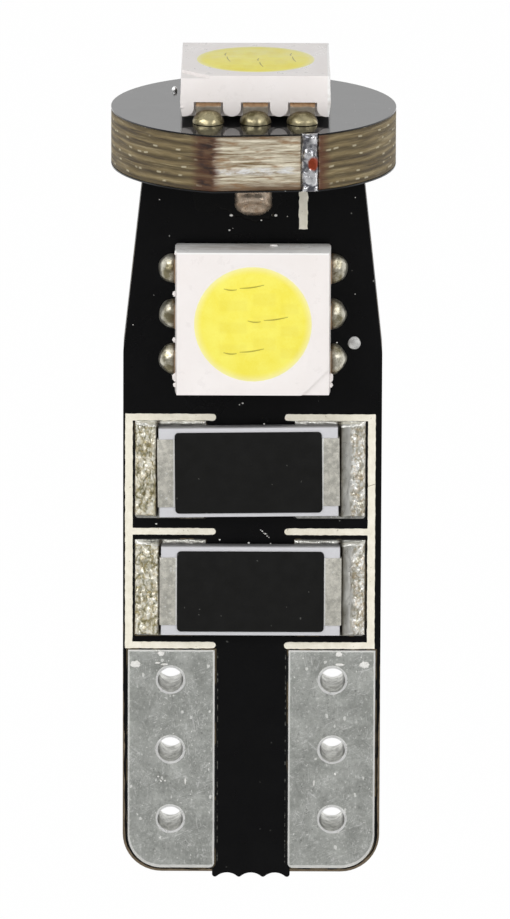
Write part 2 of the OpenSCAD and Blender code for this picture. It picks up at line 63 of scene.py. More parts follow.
# Levels and places, read from the frame
BLADE_LOW, BLADE_HIGH = mm_box("blade_board")
FACE_Y = BLADE_HIGH.y
MASK_Y = mm_box("blade_mask_back")[1].y
LAND_Y = mm_box("back_lands")[1].y
LEGEND_Y = mm_box("back_legend")[1].y
BLADE_HALF = BLADE_HIGH.x
BLADE_TOP = BLADE_HIGH.z
DISC_LOW, DISC_HIGH = mm_box("disc_board")
DISC_R = DISC_HIGH.y
PAD_LOW, PAD_HIGH = mm_box("right_contact")
TOP_MASK_Z = mm_box("disc_mask_top")[1].z
TOP_LAND_Z = mm_box("top_lands")[1].z
HOUSING_LOW, HOUSING_HIGH = mm_box("front_led_housing")
HOUSING_HALF = HOUSING_HIGH.x
LED_H = -LAND_Y - HOUSING_LOW.y
LED_Z = (HOUSING_LOW.z + HOUSING_HIGH.z) / 2

# Sizes that the frame holds inside its nodes
CORNER_R = 1.35
LEAD_PITCH = 1.6
LEAD_Z = 0.69
WINDOW_D = 4.02
FLAT_TURN = math.radians(5.5)
FLAT_W = 3.6
EDGE_HOLE_R = 0.3
PRINT_X = -0.07
LEGEND_LINES = (8.11, 12.16, 16.21)
TAB_HALF = 1.345
HOLE_X, HOLE_Z, HOLE_PITCH, HOLE_R = 2.795, 1.89, 2.49, 0.43
OVERCOAT_HALF = 2.53


def stand_on_front(x, z):
    """Frame of a part whose lands are its Z = 0, stood on the blade's front."""
    return Matrix.Translation((x, -LAND_Y, z)) @ Matrix.Rotation(math.radians(90), 4, "X")


def to_back(place):
    """The same place on the blade's back."""
    return Matrix.Rotation(math.pi, 4, "Z") @ place


def led_places():
    """Local frame of each LED: X across its leads, Y along its lead rows, Z up from its lands."""
    front = stand_on_front(0, LED_Z)
    low, high = mm_box("top_led_housing")
    middle = (low + high) / 2
    top = Matrix.Translation((middle.x, middle.y, TOP_LAND_Z)) @ Matrix.Rotation(math.radians(-90), 4, "Z")
    return {"front": front, "back": to_back(front), "top": top}


LED_PLACES = led_places()


# Shader nodes

def srgb(red, green, blue):
    """A colour as a screen shows it, 0 to 255, in the renderer's linear values."""
    def linear(value):
        value /= 255
        return value / 12.92 if value <= 0.04045 else ((value + 0.055) / 1.055) ** 2.4
    return (linear(red), linear(green), linear(blue), 1.0)


def feed(tree, socket, value):
    """Links a socket to an output, or sets its value."""
    if isinstance(value, bpy.types.NodeSocket):
        tree.links.new(value, socket)
    else:
        socket.default_value = value


def add(tree, kind, values=None, **settings):
    """Adds a shader node, with its settings and what its inputs get."""
    made = tree.nodes.new("ShaderNode" + kind)
    for name, value in settings.items():
        setattr(made, name, value)
    for name, value in (values or {}).items():
        feed(tree, made.inputs[name], value)
    return made


def calc(tree, operation, first, second=0.0, third=0.0):
    return add(tree, "Math", {0: first, 1: second, 2: third}, operation=operation).outputs[0]


def mix(tree, factor, first, second):
    """Colour between first and second."""
    made = tree.nodes.new("ShaderNodeMix")
    made.data_type = "RGBA"
    for index, value in ((0, factor), (6, first), (7, second)):
        feed(tree, made.inputs[index], value)
    return made.outputs[2]


def band(tree, value, low, high, to_low=0.0, to_high=1.0):
    """Value mapped from low..high to to_low..to_high, without going past them."""
    made = add(tree, "MapRange", {"Value": value, "From Min": low, "From Max": high,
                                  "To Min": to_low, "To Max": to_high})
    return made.outputs["Result"]


def noise_value(tree, vector, scale, detail=3.0, rough=0.5):
    made = add(tree, "TexNoise", {"Vector": vector, "Scale": scale, "Detail": detail, "Roughness": rough})
    return made.outputs["Fac"]


def parts_of(tree, vector):
    """X, Y and Z of a vector."""
    made = add(tree, "SeparateXYZ", {"Vector": vector})
    return made.outputs["X"], made.outputs["Y"], made.outputs["Z"]


def stretch(tree, vector, x, y, z):
    made = add(tree, "VectorMath", {0: vector, 1: (x, y, z)}, operation="MULTIPLY")
    return made.outputs[0]


def frame_mm(tree):
    """Place in the frame, in millimetres."""
    return stretch(tree, add(tree, "TexCoord").outputs["Object"], 1 / MM, 1 / MM, 1 / MM)


def local_mm(tree):
    """Place in the piece's own local frame, in millimetres."""
    return add(tree, "Attribute", attribute_name="local_mm").outputs["Vector"]


def new_group(name, inputs, outputs):
    """Empty node group with named float, vector or colour sockets."""
    kinds = {"float": "NodeSocketFloat", "vector": "NodeSocketVector", "colour": "NodeSocketColor"}
    tree = bpy.data.node_groups.new(name, "ShaderNodeTree")
    for socket, kind in inputs.items():
        tree.interface.new_socket(name=socket, in_out="INPUT", socket_type=kinds[kind])
    for socket, kind in outputs.items():
        tree.interface.new_socket(name=socket, in_out="OUTPUT", socket_type=kinds[kind])
    return tree, tree.nodes.new("NodeGroupInput").outputs, tree.nodes.new("NodeGroupOutput").inputs


def use_group(tree, group, values):
    made = tree.nodes.new("ShaderNodeGroup")
    made.node_tree = group
    for name, value in values.items():
        feed(tree, made.inputs[name], value)
    return made.outputs


# Effects that several finishes share

def mottle_group():
    """Uneven tone: slow clouds with finer grain over them."""
    tree, get, put = new_group("uneven_tone", {"Vector": "vector", "Scale": "float", "Grain": "float"},
                               {"Value": "float"})
    clouds = noise_value(tree, get["Vector"], get["Scale"], 2.0, 0.5)
    grain = noise_value(tree, get["Vector"], calc(tree, "MULTIPLY", get["Scale"], 9.0), 3.0, 0.7)
    grain = calc(tree, "MULTIPLY", calc(tree, "SUBTRACT", grain, 0.5), get["Grain"])
    tree.links.new(calc(tree, "ADD", clouds, grain), put["Value"])
    return tree


def speck_group():
    """Small separate specks. Share is how many cells hold one and Size their reach."""
    tree, get, put = new_group("specks", {"Vector": "vector", "Scale": "float", "Share": "float",
                                          "Size": "float"}, {"Mask": "float"})
    wobble = add(tree, "TexNoise", {"Vector": get["Vector"], "Scale": calc(tree, "MULTIPLY", get["Scale"], 2.3)})
    place = add(tree, "VectorMath", {0: wobble.outputs["Color"], 1: (0.12, 0.12, 0.12)}, operation="MULTIPLY")
    place = add(tree, "VectorMath", {0: place.outputs[0], 1: get["Vector"]}, operation="ADD")
    cells = add(tree, "TexVoronoi", {"Vector": place.outputs[0], "Scale": get["Scale"]})
    pick = add(tree, "SeparateColor", {"Color": cells.outputs["Color"]}).outputs[0]
    near = calc(tree, "LESS_THAN", cells.outputs["Distance"], calc(tree, "MULTIPLY", get["Size"], pick))
    chosen = calc(tree, "GREATER_THAN", pick, calc(tree, "SUBTRACT", 1.0, get["Share"]))
    tree.links.new(calc(tree, "MULTIPLY", near, chosen), put["Mask"])
    return tree


def scratch_group():
    """Fine broken scratches that run at one angle in the X-Z plane."""
    tree, get, put = new_group("fine_scratches", {"Vector": "vector", "Turn": "float", "Fineness": "float",
                                                  "Share": "float"}, {"Mask": "float"})
    turned = add(tree, "VectorRotate", {"Vector": get["Vector"], "Angle": get["Turn"]}, rotation_type="Y_AXIS")
    drawn = stretch(tree, turned.outputs[0], 0.22, 1.0, 2.6)
    lines = noise_value(tree, drawn, get["Fineness"], 1.0, 0.4)
    line = calc(tree, "ABSOLUTE", calc(tree, "SUBTRACT", lines, 0.5))
    line = band(tree, line, 0.0, 0.012, 1.0, 0.0)
    breaks = noise_value(tree, turned.outputs[0], 1.7, 2.0, 0.6)
    kept = calc(tree, "GREATER_THAN", breaks, calc(tree, "SUBTRACT", 1.0, get["Share"]))
    tree.links.new(calc(tree, "MULTIPLY", line, kept), put["Mask"])
    return tree


def fibre_group():
    """Cut glass cloth: long layers with short bright yarn ends in them. Along and Up are millimetres."""
    tree, get, put = new_group("cut_glass_cloth", {"Along": "float", "Up": "float", "Layers": "float"},
                               {"Layer": "float", "Yarn": "float", "Thread": "float"})
    wander = add(tree, "CombineXYZ", {"X": calc(tree, "MULTIPLY", get["Along"], 0.9), "Y": 3.1})
    drift = noise_value(tree, wander.outputs[0], 1.0, 2.0, 0.5)
    height = calc(tree, "MULTIPLY", get["Up"], get["Layers"])
    height = calc(tree, "ADD", height, calc(tree, "MULTIPLY", drift, 0.8))
    wave = calc(tree, "SINE", calc(tree, "MULTIPLY", height, 2 * math.pi))
    tree.links.new(band(tree, wave, -1.0, 1.0), put["Layer"])
    ends = add(tree, "CombineXYZ", {"X": calc(tree, "MULTIPLY", get["Along"], 2.1), "Y": calc(tree, "ROUND", height)})
    yarn = add(tree, "TexVoronoi", {"Vector": ends.outputs[0], "Scale": 1.0}, voronoi_dimensions="2D")
    short = band(tree, yarn.outputs["Distance"], 0.16, 0.26, 1.0, 0.0)
    inside = calc(tree, "COSINE", calc(tree, "MULTIPLY", height, 2 * math.pi))
    tree.links.new(calc(tree, "MULTIPLY", short, band(tree, inside, 0.7, 0.9)), put["Yarn"])
    fine = add(tree, "CombineXYZ", {"X": calc(tree, "MULTIPLY", get["Along"], 1.6),
                                    "Y": calc(tree, "MULTIPLY", get["Up"], 17.0)})
    tree.links.new(noise_value(tree, fine.outputs[0], 1.0, 3.0, 0.6), put["Thread"])
    return tree


def fold_group():
    """Crumpled skin of solder: 0 in sharp hollows, rising to ridges."""
    tree, get, put = new_group("solder_folds", {"Vector": "vector", "Scale": "float"}, {"Value": "float"})
    total = 0.0
    for times, share in ((1.0, 1.0), (2.3, 0.5)):
        cloud = noise_value(tree, get["Vector"], calc(tree, "MULTIPLY", get["Scale"], times), 1.0, 0.5)
        crease = calc(tree, "ABSOLUTE", calc(tree, "SUBTRACT", cloud, 0.5))
        total = calc(tree, "ADD", total, calc(tree, "MULTIPLY", crease, share))
    tree.links.new(total, put["Value"])
    return tree


MOTTLE = mottle_group()
SPECKS = speck_group()
SCRATCHES = scratch_group()
FIBRES = fibre_group()
FOLDS = fold_group()


def folds(tree, vector, scale):
    return use_group(tree, FOLDS, {"Vector": vector, "Scale": scale})["Value"]


def tone(tree, vector, scale, grain=0.4):
    return use_group(tree, MOTTLE, {"Vector": vector, "Scale": scale, "Grain": grain})["Value"]


def specks(tree, vector, scale, share, size=0.35):
    return use_group(tree, SPECKS, {"Vector": vector, "Scale": scale, "Share": share, "Size": size})["Mask"]


def scratches(tree, vector, turn, fineness, share):
    values = {"Vector": vector, "Turn": math.radians(turn), "Fineness": fineness, "Share": share}
    return use_group(tree, SCRATCHES, values)["Mask"]


def material(name, build, **constants):
    """Principled material. Build gives its changing sockets, and Height as (value, millimetres)."""
    made = bpy.data.materials.new(name)
    made.use_nodes = True
    tree = made.node_tree
    shader = tree.nodes["Principled BSDF"]
    for socket, value in constants.items():
        shader.inputs[socket.replace("_", " ")].default_value = value
    for socket, value in build(tree).items():
        if socket == "Height":
            bump = add(tree, "Bump", {"Height": value[0], "Distance": value[1] * MM})
            feed(tree, shader.inputs["Normal"], bump.outputs["Normal"])
        else:
            feed(tree, shader.inputs[socket], value)
    return made


# Finishes

def side_distance(tree, vector):
    """Distance in from the blade's sides and bottom, round its bottom corners."""
    x, _, z = parts_of(tree, vector)
    across = calc(tree, "SUBTRACT", calc(tree, "ABSOLUTE", x), BLADE_HALF - CORNER_R)
    down = calc(tree, "SUBTRACT", CORNER_R, z)
    out_x = calc(tree, "MAXIMUM", across, 0.0)
    out_z = calc(tree, "MAXIMUM", down, 0.0)
    corner = calc(tree, "SQRT", calc(tree, "ADD", calc(tree, "MULTIPLY", out_x, out_x),
                                     calc(tree, "MULTIPLY", out_z, out_z)))
    inner = calc(tree, "MINIMUM", calc(tree, "MAXIMUM", across, down), 0.0)
    return calc(tree, "SUBTRACT", CORNER_R, calc(tree, "ADD", corner, inner))


def blade_mask_finish():
    """Black solder mask, worn off along the blade's lower sides, with dust and fine scuffs."""
    def build(tree):
        place = frame_mm(tree)
        x, _, z = parts_of(tree, place)
        black = mix(tree, tone(tree, place, 0.7), srgb(7, 7, 8), srgb(13, 13, 14))
        dust = calc(tree, "MULTIPLY", specks(tree, place, 2.6, 0.14, 0.1), band(tree, z, 7.0, 12.0, 0.1, 0.5))
        black = mix(tree, dust, black, srgb(150, 150, 145))
        reach = noise_value(tree, stretch(tree, place, 0.5, 0.5, 1.1), 1.3, 2.0, 0.6)
        low = band(tree, z, 3.0, 9.0, 0.0, 0.5)
        worn = calc(tree, "SUBTRACT", calc(tree, "MULTIPLY", reach, 0.16), calc(tree, "MULTIPLY", low, 0.2))
        middle = calc(tree, "ABSOLUTE", x)
        worn = calc(tree, "SUBTRACT", worn, calc(tree, "LESS_THAN", middle, TAB_HALF))
        bare = calc(tree, "LESS_THAN", side_distance(tree, place), worn)
        brown = mix(tree, noise_value(tree, place, 6.0), srgb(72, 62, 50), srgb(132, 118, 98))
        black = mix(tree, bare, black, brown)
        beside_pad = calc(tree, "ABSOLUTE", calc(tree, "SUBTRACT", middle, PAD_LOW.x - 0.1))
        chipped = calc(tree, "MULTIPLY", calc(tree, "LESS_THAN", beside_pad, 0.014), calc(tree, "LESS_THAN", z, PAD_HIGH.z))
        chipped = calc(tree, "MULTIPLY", chipped, calc(tree, "GREATER_THAN", z, 0.3))
        breaks = band(tree, noise_value(tree, place, 5.0, 3.0, 0.7), 0.5, 0.66, 0.0, 0.4)
        black = mix(tree, calc(tree, "MULTIPLY", chipped, breaks), black, srgb(150, 150, 142))
        rough = band(tree, noise_value(tree, place, 1.1, 3.0, 0.6), 0.3, 0.7, 0.24, 0.42)
        return {"Base Color": black, "Roughness": rough,
                "Height": (noise_value(tree, place, 2.2, 4.0, 0.6), 0.012)}
    return material("black_solder_mask", build, Specular_IOR_Level=0.13)


def disc_mask_finish():
    """The same mask where the disc shows it clean and glossy."""
    def build(tree):
        place = frame_mm(tree)
        black = mix(tree, tone(tree, place, 0.9), srgb(14, 14, 16), srgb(24, 24, 26))
        dust = specks(tree, place, 3.4, 0.12, 0.12)
        black = mix(tree, calc(tree, "MULTIPLY", dust, 0.4), black, srgb(190, 190, 185))
        rough = band(tree, noise_value(tree, place, 0.8, 2.0, 0.5), 0.3, 0.7, 0.06, 0.1)
        return {"Base Color": black, "Roughness": rough,
                "Height": (noise_value(tree, place, 0.9, 2.0, 0.5), 0.004)}
    return material("glossy_solder_mask", build)


def blade_laminate_finish():
    """Sawn sides of the blade: black smear over brown glass laminate."""
    def build(tree):
        place = frame_mm(tree)
        _, y, z = parts_of(tree, place)
        cloth = use_group(tree, FIBRES, {"Along": z, "Up": y, "Layers": 4.3})
        brown = mix(tree, cloth["Layer"], srgb(70, 58, 42), srgb(124, 110, 84))
        brown = mix(tree, calc(tree, "MULTIPLY", cloth["Yarn"], 0.6), brown, srgb(188, 178, 150))
        smear = noise_value(tree, stretch(tree, place, 1.0, 1.0, 0.45), 1.4, 3.0, 0.65)
        smear = band(tree, smear, 0.44, 0.5)
        return {"Base Color": mix(tree, smear, brown, srgb(16, 16, 17)),
                "Roughness": band(tree, smear, 0.0, 1.0, 0.75, 0.5),
                "Height": (cloth["Thread"], 0.03)}
    return material("sawn_blade_laminate", build)


def disc_laminate_finish():
    """Rim of the disc: olive laminate in layers, burnt beside the broken flat, and the pale torn flat."""
    def build(tree):
        place = local_mm(tree)
        along, up, out = parts_of(tree, place)
        cloth = use_group(tree, FIBRES, {"Along": along, "Up": up, "Layers": 3.4})
        streak = noise_value(tree, stretch(tree, place, 0.3, 6.0, 1.0), 1.0, 4.0, 0.65)
        olive = mix(tree, cloth["Layer"], srgb(82, 69, 42), srgb(138, 121, 84))
        olive = mix(tree, band(tree, cloth["Thread"], 0.35, 0.65, 0.0, 0.45), olive, srgb(112, 97, 64))
        olive = mix(tree, band(tree, streak, 0.5, 0.64, 0.0, 0.85), olive, srgb(58, 45, 27))
        olive = mix(tree, band(tree, streak, 0.44, 0.34, 0.0, 0.65), olive, srgb(172, 157, 120))
        olive = mix(tree, calc(tree, "MULTIPLY", cloth["Yarn"], 0.6), olive, srgb(214, 205, 176))
        wild = noise_value(tree, stretch(tree, place, 0.8, 2.6, 1.0), 1.3, 3.0, 0.6)
        fibres = noise_value(tree, stretch(tree, place, 0.55, 9.0, 1.0), 1.0, 4.0, 0.7)
        torn = mix(tree, band(tree, fibres, 0.36, 0.62), srgb(122, 101, 68), srgb(230, 222, 200))
        torn = mix(tree, band(tree, wild, 0.52, 0.64, 0.0, 0.8), torn, srgb(142, 106, 66))
        height = calc(tree, "ADD", up, calc(tree, "MULTIPLY", wild, 0.35))
        frayed = calc(tree, "ABSOLUTE", calc(tree, "SUBTRACT", height, 0.86))
        broken = band(tree, noise_value(tree, stretch(tree, place, 2.2, 5.0, 1.0), 1.0, 3.0, 0.7), 0.4, 0.6, 0.1, 0.85)
        torn = mix(tree, calc(tree, "MULTIPLY", band(tree, frayed, 0.06, 0.16, 1.0, 0.0), broken), torn, srgb(226, 227, 228))
        torn = mix(tree, band(tree, height, 0.26, 0.5, 0.9, 0.0), torn, srgb(98, 70, 42))
        torn = mix(tree, band(tree, height, 1.85, 2.05, 0.0, 0.6), torn, srgb(112, 84, 56))
        slant = calc(tree, "ADD", along, calc(tree, "MULTIPLY", calc(tree, "SUBTRACT", wild, 0.5), 0.5))
        flat = band(tree, calc(tree, "ABSOLUTE", slant), FLAT_W / 2 + 0.06, FLAT_W / 2 - 0.06)
        base = mix(tree, flat, olive, torn)
        left = calc(tree, "SUBTRACT", slant, -FLAT_W / 2)
        frayed_left = calc(tree, "ADD", left, calc(tree, "MULTIPLY", calc(tree, "SUBTRACT", fibres, 0.5), 0.6))
        burnt = calc(tree, "MULTIPLY", band(tree, frayed_left, -0.85, -0.5), band(tree, frayed_left, 0.0, 0.3, 1.0, 0.0))
        burnt = calc(tree, "MULTIPLY", burnt, band(tree, wild, 0.35, 0.6, 0.95, 0.65))
        base = mix(tree, burnt, base, srgb(84, 41, 18))
        core = calc(tree, "MULTIPLY", band(tree, frayed_left, -0.7, -0.4), band(tree, frayed_left, -0.14, 0.05, 1.0, 0.0))
        core = calc(tree, "MULTIPLY", core, band(tree, wild, 0.42, 0.52, 0.85, 0.1))
        base = mix(tree, core, base, srgb(28, 15, 10))
        right = calc(tree, "SUBTRACT", slant, FLAT_W / 2)
        singed = calc(tree, "MULTIPLY", band(tree, right, -0.1, 0.0), band(tree, right, 0.12, 0.45, 1.0, 0.0))
        base = mix(tree, calc(tree, "MULTIPLY", singed, 0.8), base, srgb(92, 48, 26))
        return {"Base Color": base, "Roughness": band(tree, cloth["Thread"], 0.3, 0.7, 0.55, 0.8),
                "Height": (calc(tree, "ADD", cloth["Thread"], streak), 0.05)}
    return material("cut_disc_laminate", build)


def hole_distance(tree, x, z):
    """Distance from the axis of the nearest plated hole."""
    row = calc(tree, "DIVIDE", calc(tree, "SUBTRACT", z, HOLE_Z), HOLE_PITCH)
    up = calc(tree, "MULTIPLY", calc(tree, "SUBTRACT", row, calc(tree, "ROUND", row)), HOLE_PITCH)
    across = calc(tree, "SUBTRACT", calc(tree, "ABSOLUTE", x), HOLE_X)
    return calc(tree, "SQRT", calc(tree, "ADD", calc(tree, "MULTIPLY", across, across), calc(tree, "MULTIPLY", up, up)))


def tin_finish():
    """Tin of the contact pads: scratched, flecked and stained, with a painted highlight along its edges, pale hole
    walls and painted shade at the walls' sides.
    """
    def build(tree):
        place = frame_mm(tree)
        x, _, z = parts_of(tree, place)
        grey = mix(tree, band(tree, tone(tree, place, 1.6, 0.7), 0.3, 0.75), srgb(164, 166, 161), srgb(198, 200, 195))
        light = scratches(tree, place, 24, 5.0, 0.5)
        for turn, fineness in ((-38, 4.0), (68, 6.0), (-82, 5.0)):
            light = calc(tree, "MAXIMUM", light, scratches(tree, place, turn, fineness, 0.44))
        grain = noise_value(tree, stretch(tree, place, 1.0, 1.0, 0.8), 9.0, 2.0, 0.6)
        grey = mix(tree, band(tree, grain, 0.42, 0.3, 0.0, 0.4), grey, srgb(118, 119, 115))
        grey = mix(tree, band(tree, grain, 0.58, 0.7, 0.0, 0.5), grey, srgb(240, 240, 237))
        grey = mix(tree, calc(tree, "MULTIPLY", light, 0.65), grey, srgb(236, 236, 234))
        for size, share in ((3.0, 0.3), (6.5, 0.25)):
            flecks = specks(tree, stretch(tree, place, 1.0, 1.0, 0.7), size, share, 0.17)
            grey = mix(tree, calc(tree, "MULTIPLY", flecks, 0.85), grey, srgb(244, 244, 240))
        pits = specks(tree, place, 5.5, 0.2, 0.15)
        grey = mix(tree, calc(tree, "MULTIPLY", pits, 0.5), grey, srgb(96, 96, 92))
        # painted highlight: the tin is lightened along the pad's edges, where a rounded edge catches light
        inner = calc(tree, "SUBTRACT", calc(tree, "ABSOLUTE", x), PAD_LOW.x)
        border = calc(tree, "MINIMUM", inner, calc(tree, "SUBTRACT", side_distance(tree, place), BLADE_HALF - PAD_HIGH.x))
        border = calc(tree, "MINIMUM", border, calc(tree, "SUBTRACT", PAD_HIGH.z, z))
        border = calc(tree, "ADD", border, calc(tree, "MULTIPLY", noise_value(tree, place, 4.0, 3.0, 0.7), 0.05))
        grey = mix(tree, band(tree, border, 0.075, 0.1, 1.0, 0.0), grey, srgb(238, 238, 234))
        radius = hole_distance(tree, x, z)
        wall = mix(tree, band(tree, noise_value(tree, place, 3.5, 3.0, 0.7), 0.35, 0.6), srgb(186, 186, 181), srgb(240, 240, 235))
        # painted shade: the hole wall darkens at its left and right sides
        beside = calc(tree, "ABSOLUTE", calc(tree, "SUBTRACT", calc(tree, "ABSOLUTE", x), HOLE_X))
        wall = mix(tree, band(tree, beside, HOLE_R - 0.1, HOLE_R - 0.02, 0.0, 0.75), wall, srgb(84, 84, 80))
        grey = mix(tree, calc(tree, "LESS_THAN", radius, HOLE_R + 0.01), grey, wall)
        rough = band(tree, tone(tree, place, 2.4, 0.6), 0.3, 0.7, 0.42, 0.6)
        relief_value = calc(tree, "SUBTRACT", tone(tree, place, 3.0, 0.8), calc(tree, "MULTIPLY", light, 0.2))
        return {"Base Color": grey, "Roughness": rough, "Height": (relief_value, 0.012)}
    return material("dull_tin", build, Metallic=0.8)


def bright_tin_finish():
    """Worn bright edges of the tin, and the walls of the plated holes."""
    def build(tree):
        place = frame_mm(tree)
        grey = mix(tree, tone(tree, place, 3.0, 0.8), srgb(226, 226, 224), srgb(252, 252, 250))
        return {"Base Color": grey, "Roughness": band(tree, tone(tree, place, 5.0), 0.3, 0.7, 0.25, 0.45),
                "Height": (noise_value(tree, place, 5.0, 3.0, 0.6), 0.02)}
    return material("bright_tin", build, Metallic=0.6)


def legend_finish():
    """Cream ink with faint thin places and a nick across one line."""
    def build(tree):
        place = frame_mm(tree)
        x, _, z = parts_of(tree, place)
        cream = mix(tree, band(tree, tone(tree, place, 3.0, 0.6), 0.3, 0.7), srgb(236, 230, 212), srgb(250, 245, 230))
        pin = specks(tree, place, 7.0, 0.12, 0.2)
        cream = mix(tree, calc(tree, "MULTIPLY", pin, 0.5), cream, srgb(160, 150, 128))
        slant = calc(tree, "SUBTRACT", z, calc(tree, "MULTIPLY", x, 0.34))
        nick = calc(tree, "LESS_THAN", calc(tree, "ABSOLUTE", calc(tree, "SUBTRACT", slant, 12.43)), 0.014)
        nick = calc(tree, "MULTIPLY", nick, calc(tree, "GREATER_THAN", x, 3.9))
        return {"Base Color": mix(tree, nick, cream, srgb(186, 176, 156)), "Roughness": band(tree, pin, 0.0, 1.0, 0.6, 0.8),
                "Height": (noise_value(tree, place, 9.0, 3.0, 0.6), 0.01)}
    return material("cream_ink", build, Specular_IOR_Level=0.3)


def housing_finish():
    """Satin white moulding with a faint warm cast; its upper side is whiter as painted light, with grey and brown
    streaks on it as painted reflection.
    """
    def build(tree):
        place = local_mm(tree)
        _, y, z = parts_of(tree, place)
        white = mix(tree, tone(tree, place, 0.8, 0.3), srgb(244, 237, 233), srgb(250, 245, 243))
        # painted reflection: grey and brown streaks on the upper side stand for the disc's underside and the leads
        # mirrored in it
        reflection_streaks = noise_value(tree, stretch(tree, place, 0.9, 1.0, 3.4), 1.0, 3.0, 0.6)
        tint = mix(tree, band(tree, reflection_streaks, 0.4, 0.6), srgb(204, 194, 186), srgb(255, 254, 252))
        inside = calc(tree, "MULTIPLY", band(tree, z, 0.2, 0.5), band(tree, z, LED_H - 0.42, LED_H - 0.3, 1.0, 0.0))
        # painted light: the upper side is made whiter to make up for the shade under the disc
        brightened_top_side = calc(tree, "GREATER_THAN", y, (HOUSING_HIGH.z - HOUSING_LOW.z) / 2 - 0.11)
        white = mix(tree, brightened_top_side, white, srgb(255, 254, 252))
        stained = calc(tree, "MULTIPLY", calc(tree, "MULTIPLY", inside, brightened_top_side), 0.6)
        return {"Base Color": mix(tree, stained, white, tint),
                "Roughness": band(tree, tone(tree, place, 2.0), 0.3, 0.7, 0.26, 0.4),
                "Height": (noise_value(tree, place, 3.0, 2.0, 0.5), 0.003)}
    return material("white_moulding", build)


def phosphor_finish():
    """Yellow phosphor in silicone: pale at its thin rim, with the bond wires showing as thin dark lines."""
    def build(tree):
        place = local_mm(tree)
        x, y, _ = parts_of(tree, place)
        radius = calc(tree, "SQRT", calc(tree, "ADD", calc(tree, "MULTIPLY", x, x), calc(tree, "MULTIPLY", y, y)))
        yellow = mix(tree, band(tree, tone(tree, place, 1.4, 0.5), 0.3, 0.7), srgb(251, 237, 84), srgb(255, 246, 110))
        shapes, wires = 0.0, 0.0
        for row, side in ((1.0, -1), (0.0, 1), (-1.0, -1)):
            for start, end, low, high in PLATES:
                shapes = calc(tree, "MAXIMUM", shapes, box_mark(tree, x, y, start, end, 0.78 * row + low, 0.78 * row + high))
            for start, end, foot, rise in WIRES:
                wire = wire_mark(tree, x, y, 0.36 + start + 0.41 * side, 0.36 + end + 0.41 * side,
                                 1.12 * row + foot, rise)
                wires = calc(tree, "MAXIMUM", wires, wire)
        yellow = mix(tree, calc(tree, "MULTIPLY", shapes, 0.14), yellow, srgb(228, 206, 66))
        pale = calc(tree, "POWER", band(tree, radius, WINDOW_D / 2 - 0.28, WINDOW_D / 2 - 0.02), 1.6)
        yellow = mix(tree, calc(tree, "MULTIPLY", pale, 0.75), yellow, srgb(253, 247, 186))
        yellow = mix(tree, calc(tree, "MULTIPLY", wires, 0.7), yellow, srgb(140, 124, 30))
        return {"Base Color": yellow, "Roughness": band(tree, tone(tree, place, 2.0), 0.3, 0.7, 0.3, 0.42),
                "Height": (noise_value(tree, place, 1.2, 2.0, 0.5), 0.02)}
    return material("yellow_phosphor", build, Specular_IOR_Level=0.35)


# Marks under the phosphor as (start, end, low, high) across the leads, and wires as (start, end, foot, rise)
PLATES = ((-1.15, -0.2, -0.32, 0.06), (0.0, 0.78, -0.14, 0.3), (0.95, 1.55, -0.42, -0.06))
WIRES = ((-0.95, -0.5, 0.12, -0.03), (-0.4, 0.43, 0.14, 0.12))


def box_mark(tree, x, y, start, end, low, high):
    """Mask of a soft-edged rectangle."""
    across = calc(tree, "MULTIPLY", band(tree, x, start - 0.05, start + 0.05), band(tree, x, end - 0.05, end + 0.05, 1.0, 0.0))
    up = calc(tree, "MULTIPLY", band(tree, y, low - 0.05, low + 0.05), band(tree, y, high - 0.05, high + 0.05, 1.0, 0.0))
    return calc(tree, "MULTIPLY", across, up)


def wire_mark(tree, x, y, start, end, foot, rise):
    """Mask of one bond wire seen through the phosphor: a thin sagging line, thicker in its middle."""
    along = calc(tree, "DIVIDE", calc(tree, "SUBTRACT", x, start), end - start)
    inside = calc(tree, "MULTIPLY", calc(tree, "GREATER_THAN", along, 0.0), calc(tree, "LESS_THAN", along, 1.0))
    arch = calc(tree, "SINE", calc(tree, "MULTIPLY", along, math.pi))
    line = calc(tree, "ADD", calc(tree, "MULTIPLY", along, rise), foot)
    line = calc(tree, "SUBTRACT", line, calc(tree, "MULTIPLY", arch, 0.03))
    off = calc(tree, "ABSOLUTE", calc(tree, "SUBTRACT", y, line))
    width = calc(tree, "ADD", calc(tree, "MULTIPLY", arch, 0.014), 0.01)
    return calc(tree, "MULTIPLY", inside, calc(tree, "LESS_THAN", off, width))


def lead_finish():
    """Tinned leads, brown where flux boiled on their shoulders."""
    def build(tree):
        place = local_mm(tree)
        _, _, z = parts_of(tree, place)
        grey = mix(tree, tone(tree, place, 3.0, 0.7), srgb(128, 120, 106), srgb(182, 174, 160))
        brown = mix(tree, noise_value(tree, place, 8.0), srgb(112, 80, 50), srgb(186, 150, 112))
        burnt = band(tree, calc(tree, "ADD", z, calc(tree, "MULTIPLY", noise_value(tree, place, 5.0), 0.08)),
                     LEAD_Z - 0.13, LEAD_Z - 0.08)
        return {"Base Color": mix(tree, burnt, grey, brown), "Metallic": band(tree, burnt, 0.0, 1.0, 0.8, 0.2),
                "Roughness": band(tree, tone(tree, place, 4.0), 0.3, 0.7, 0.35, 0.55),
                "Height": (noise_value(tree, place, 8.0, 3.0, 0.6), 0.015)}
    return material("tinned_leads", build)


GROOVE_W = 0.07


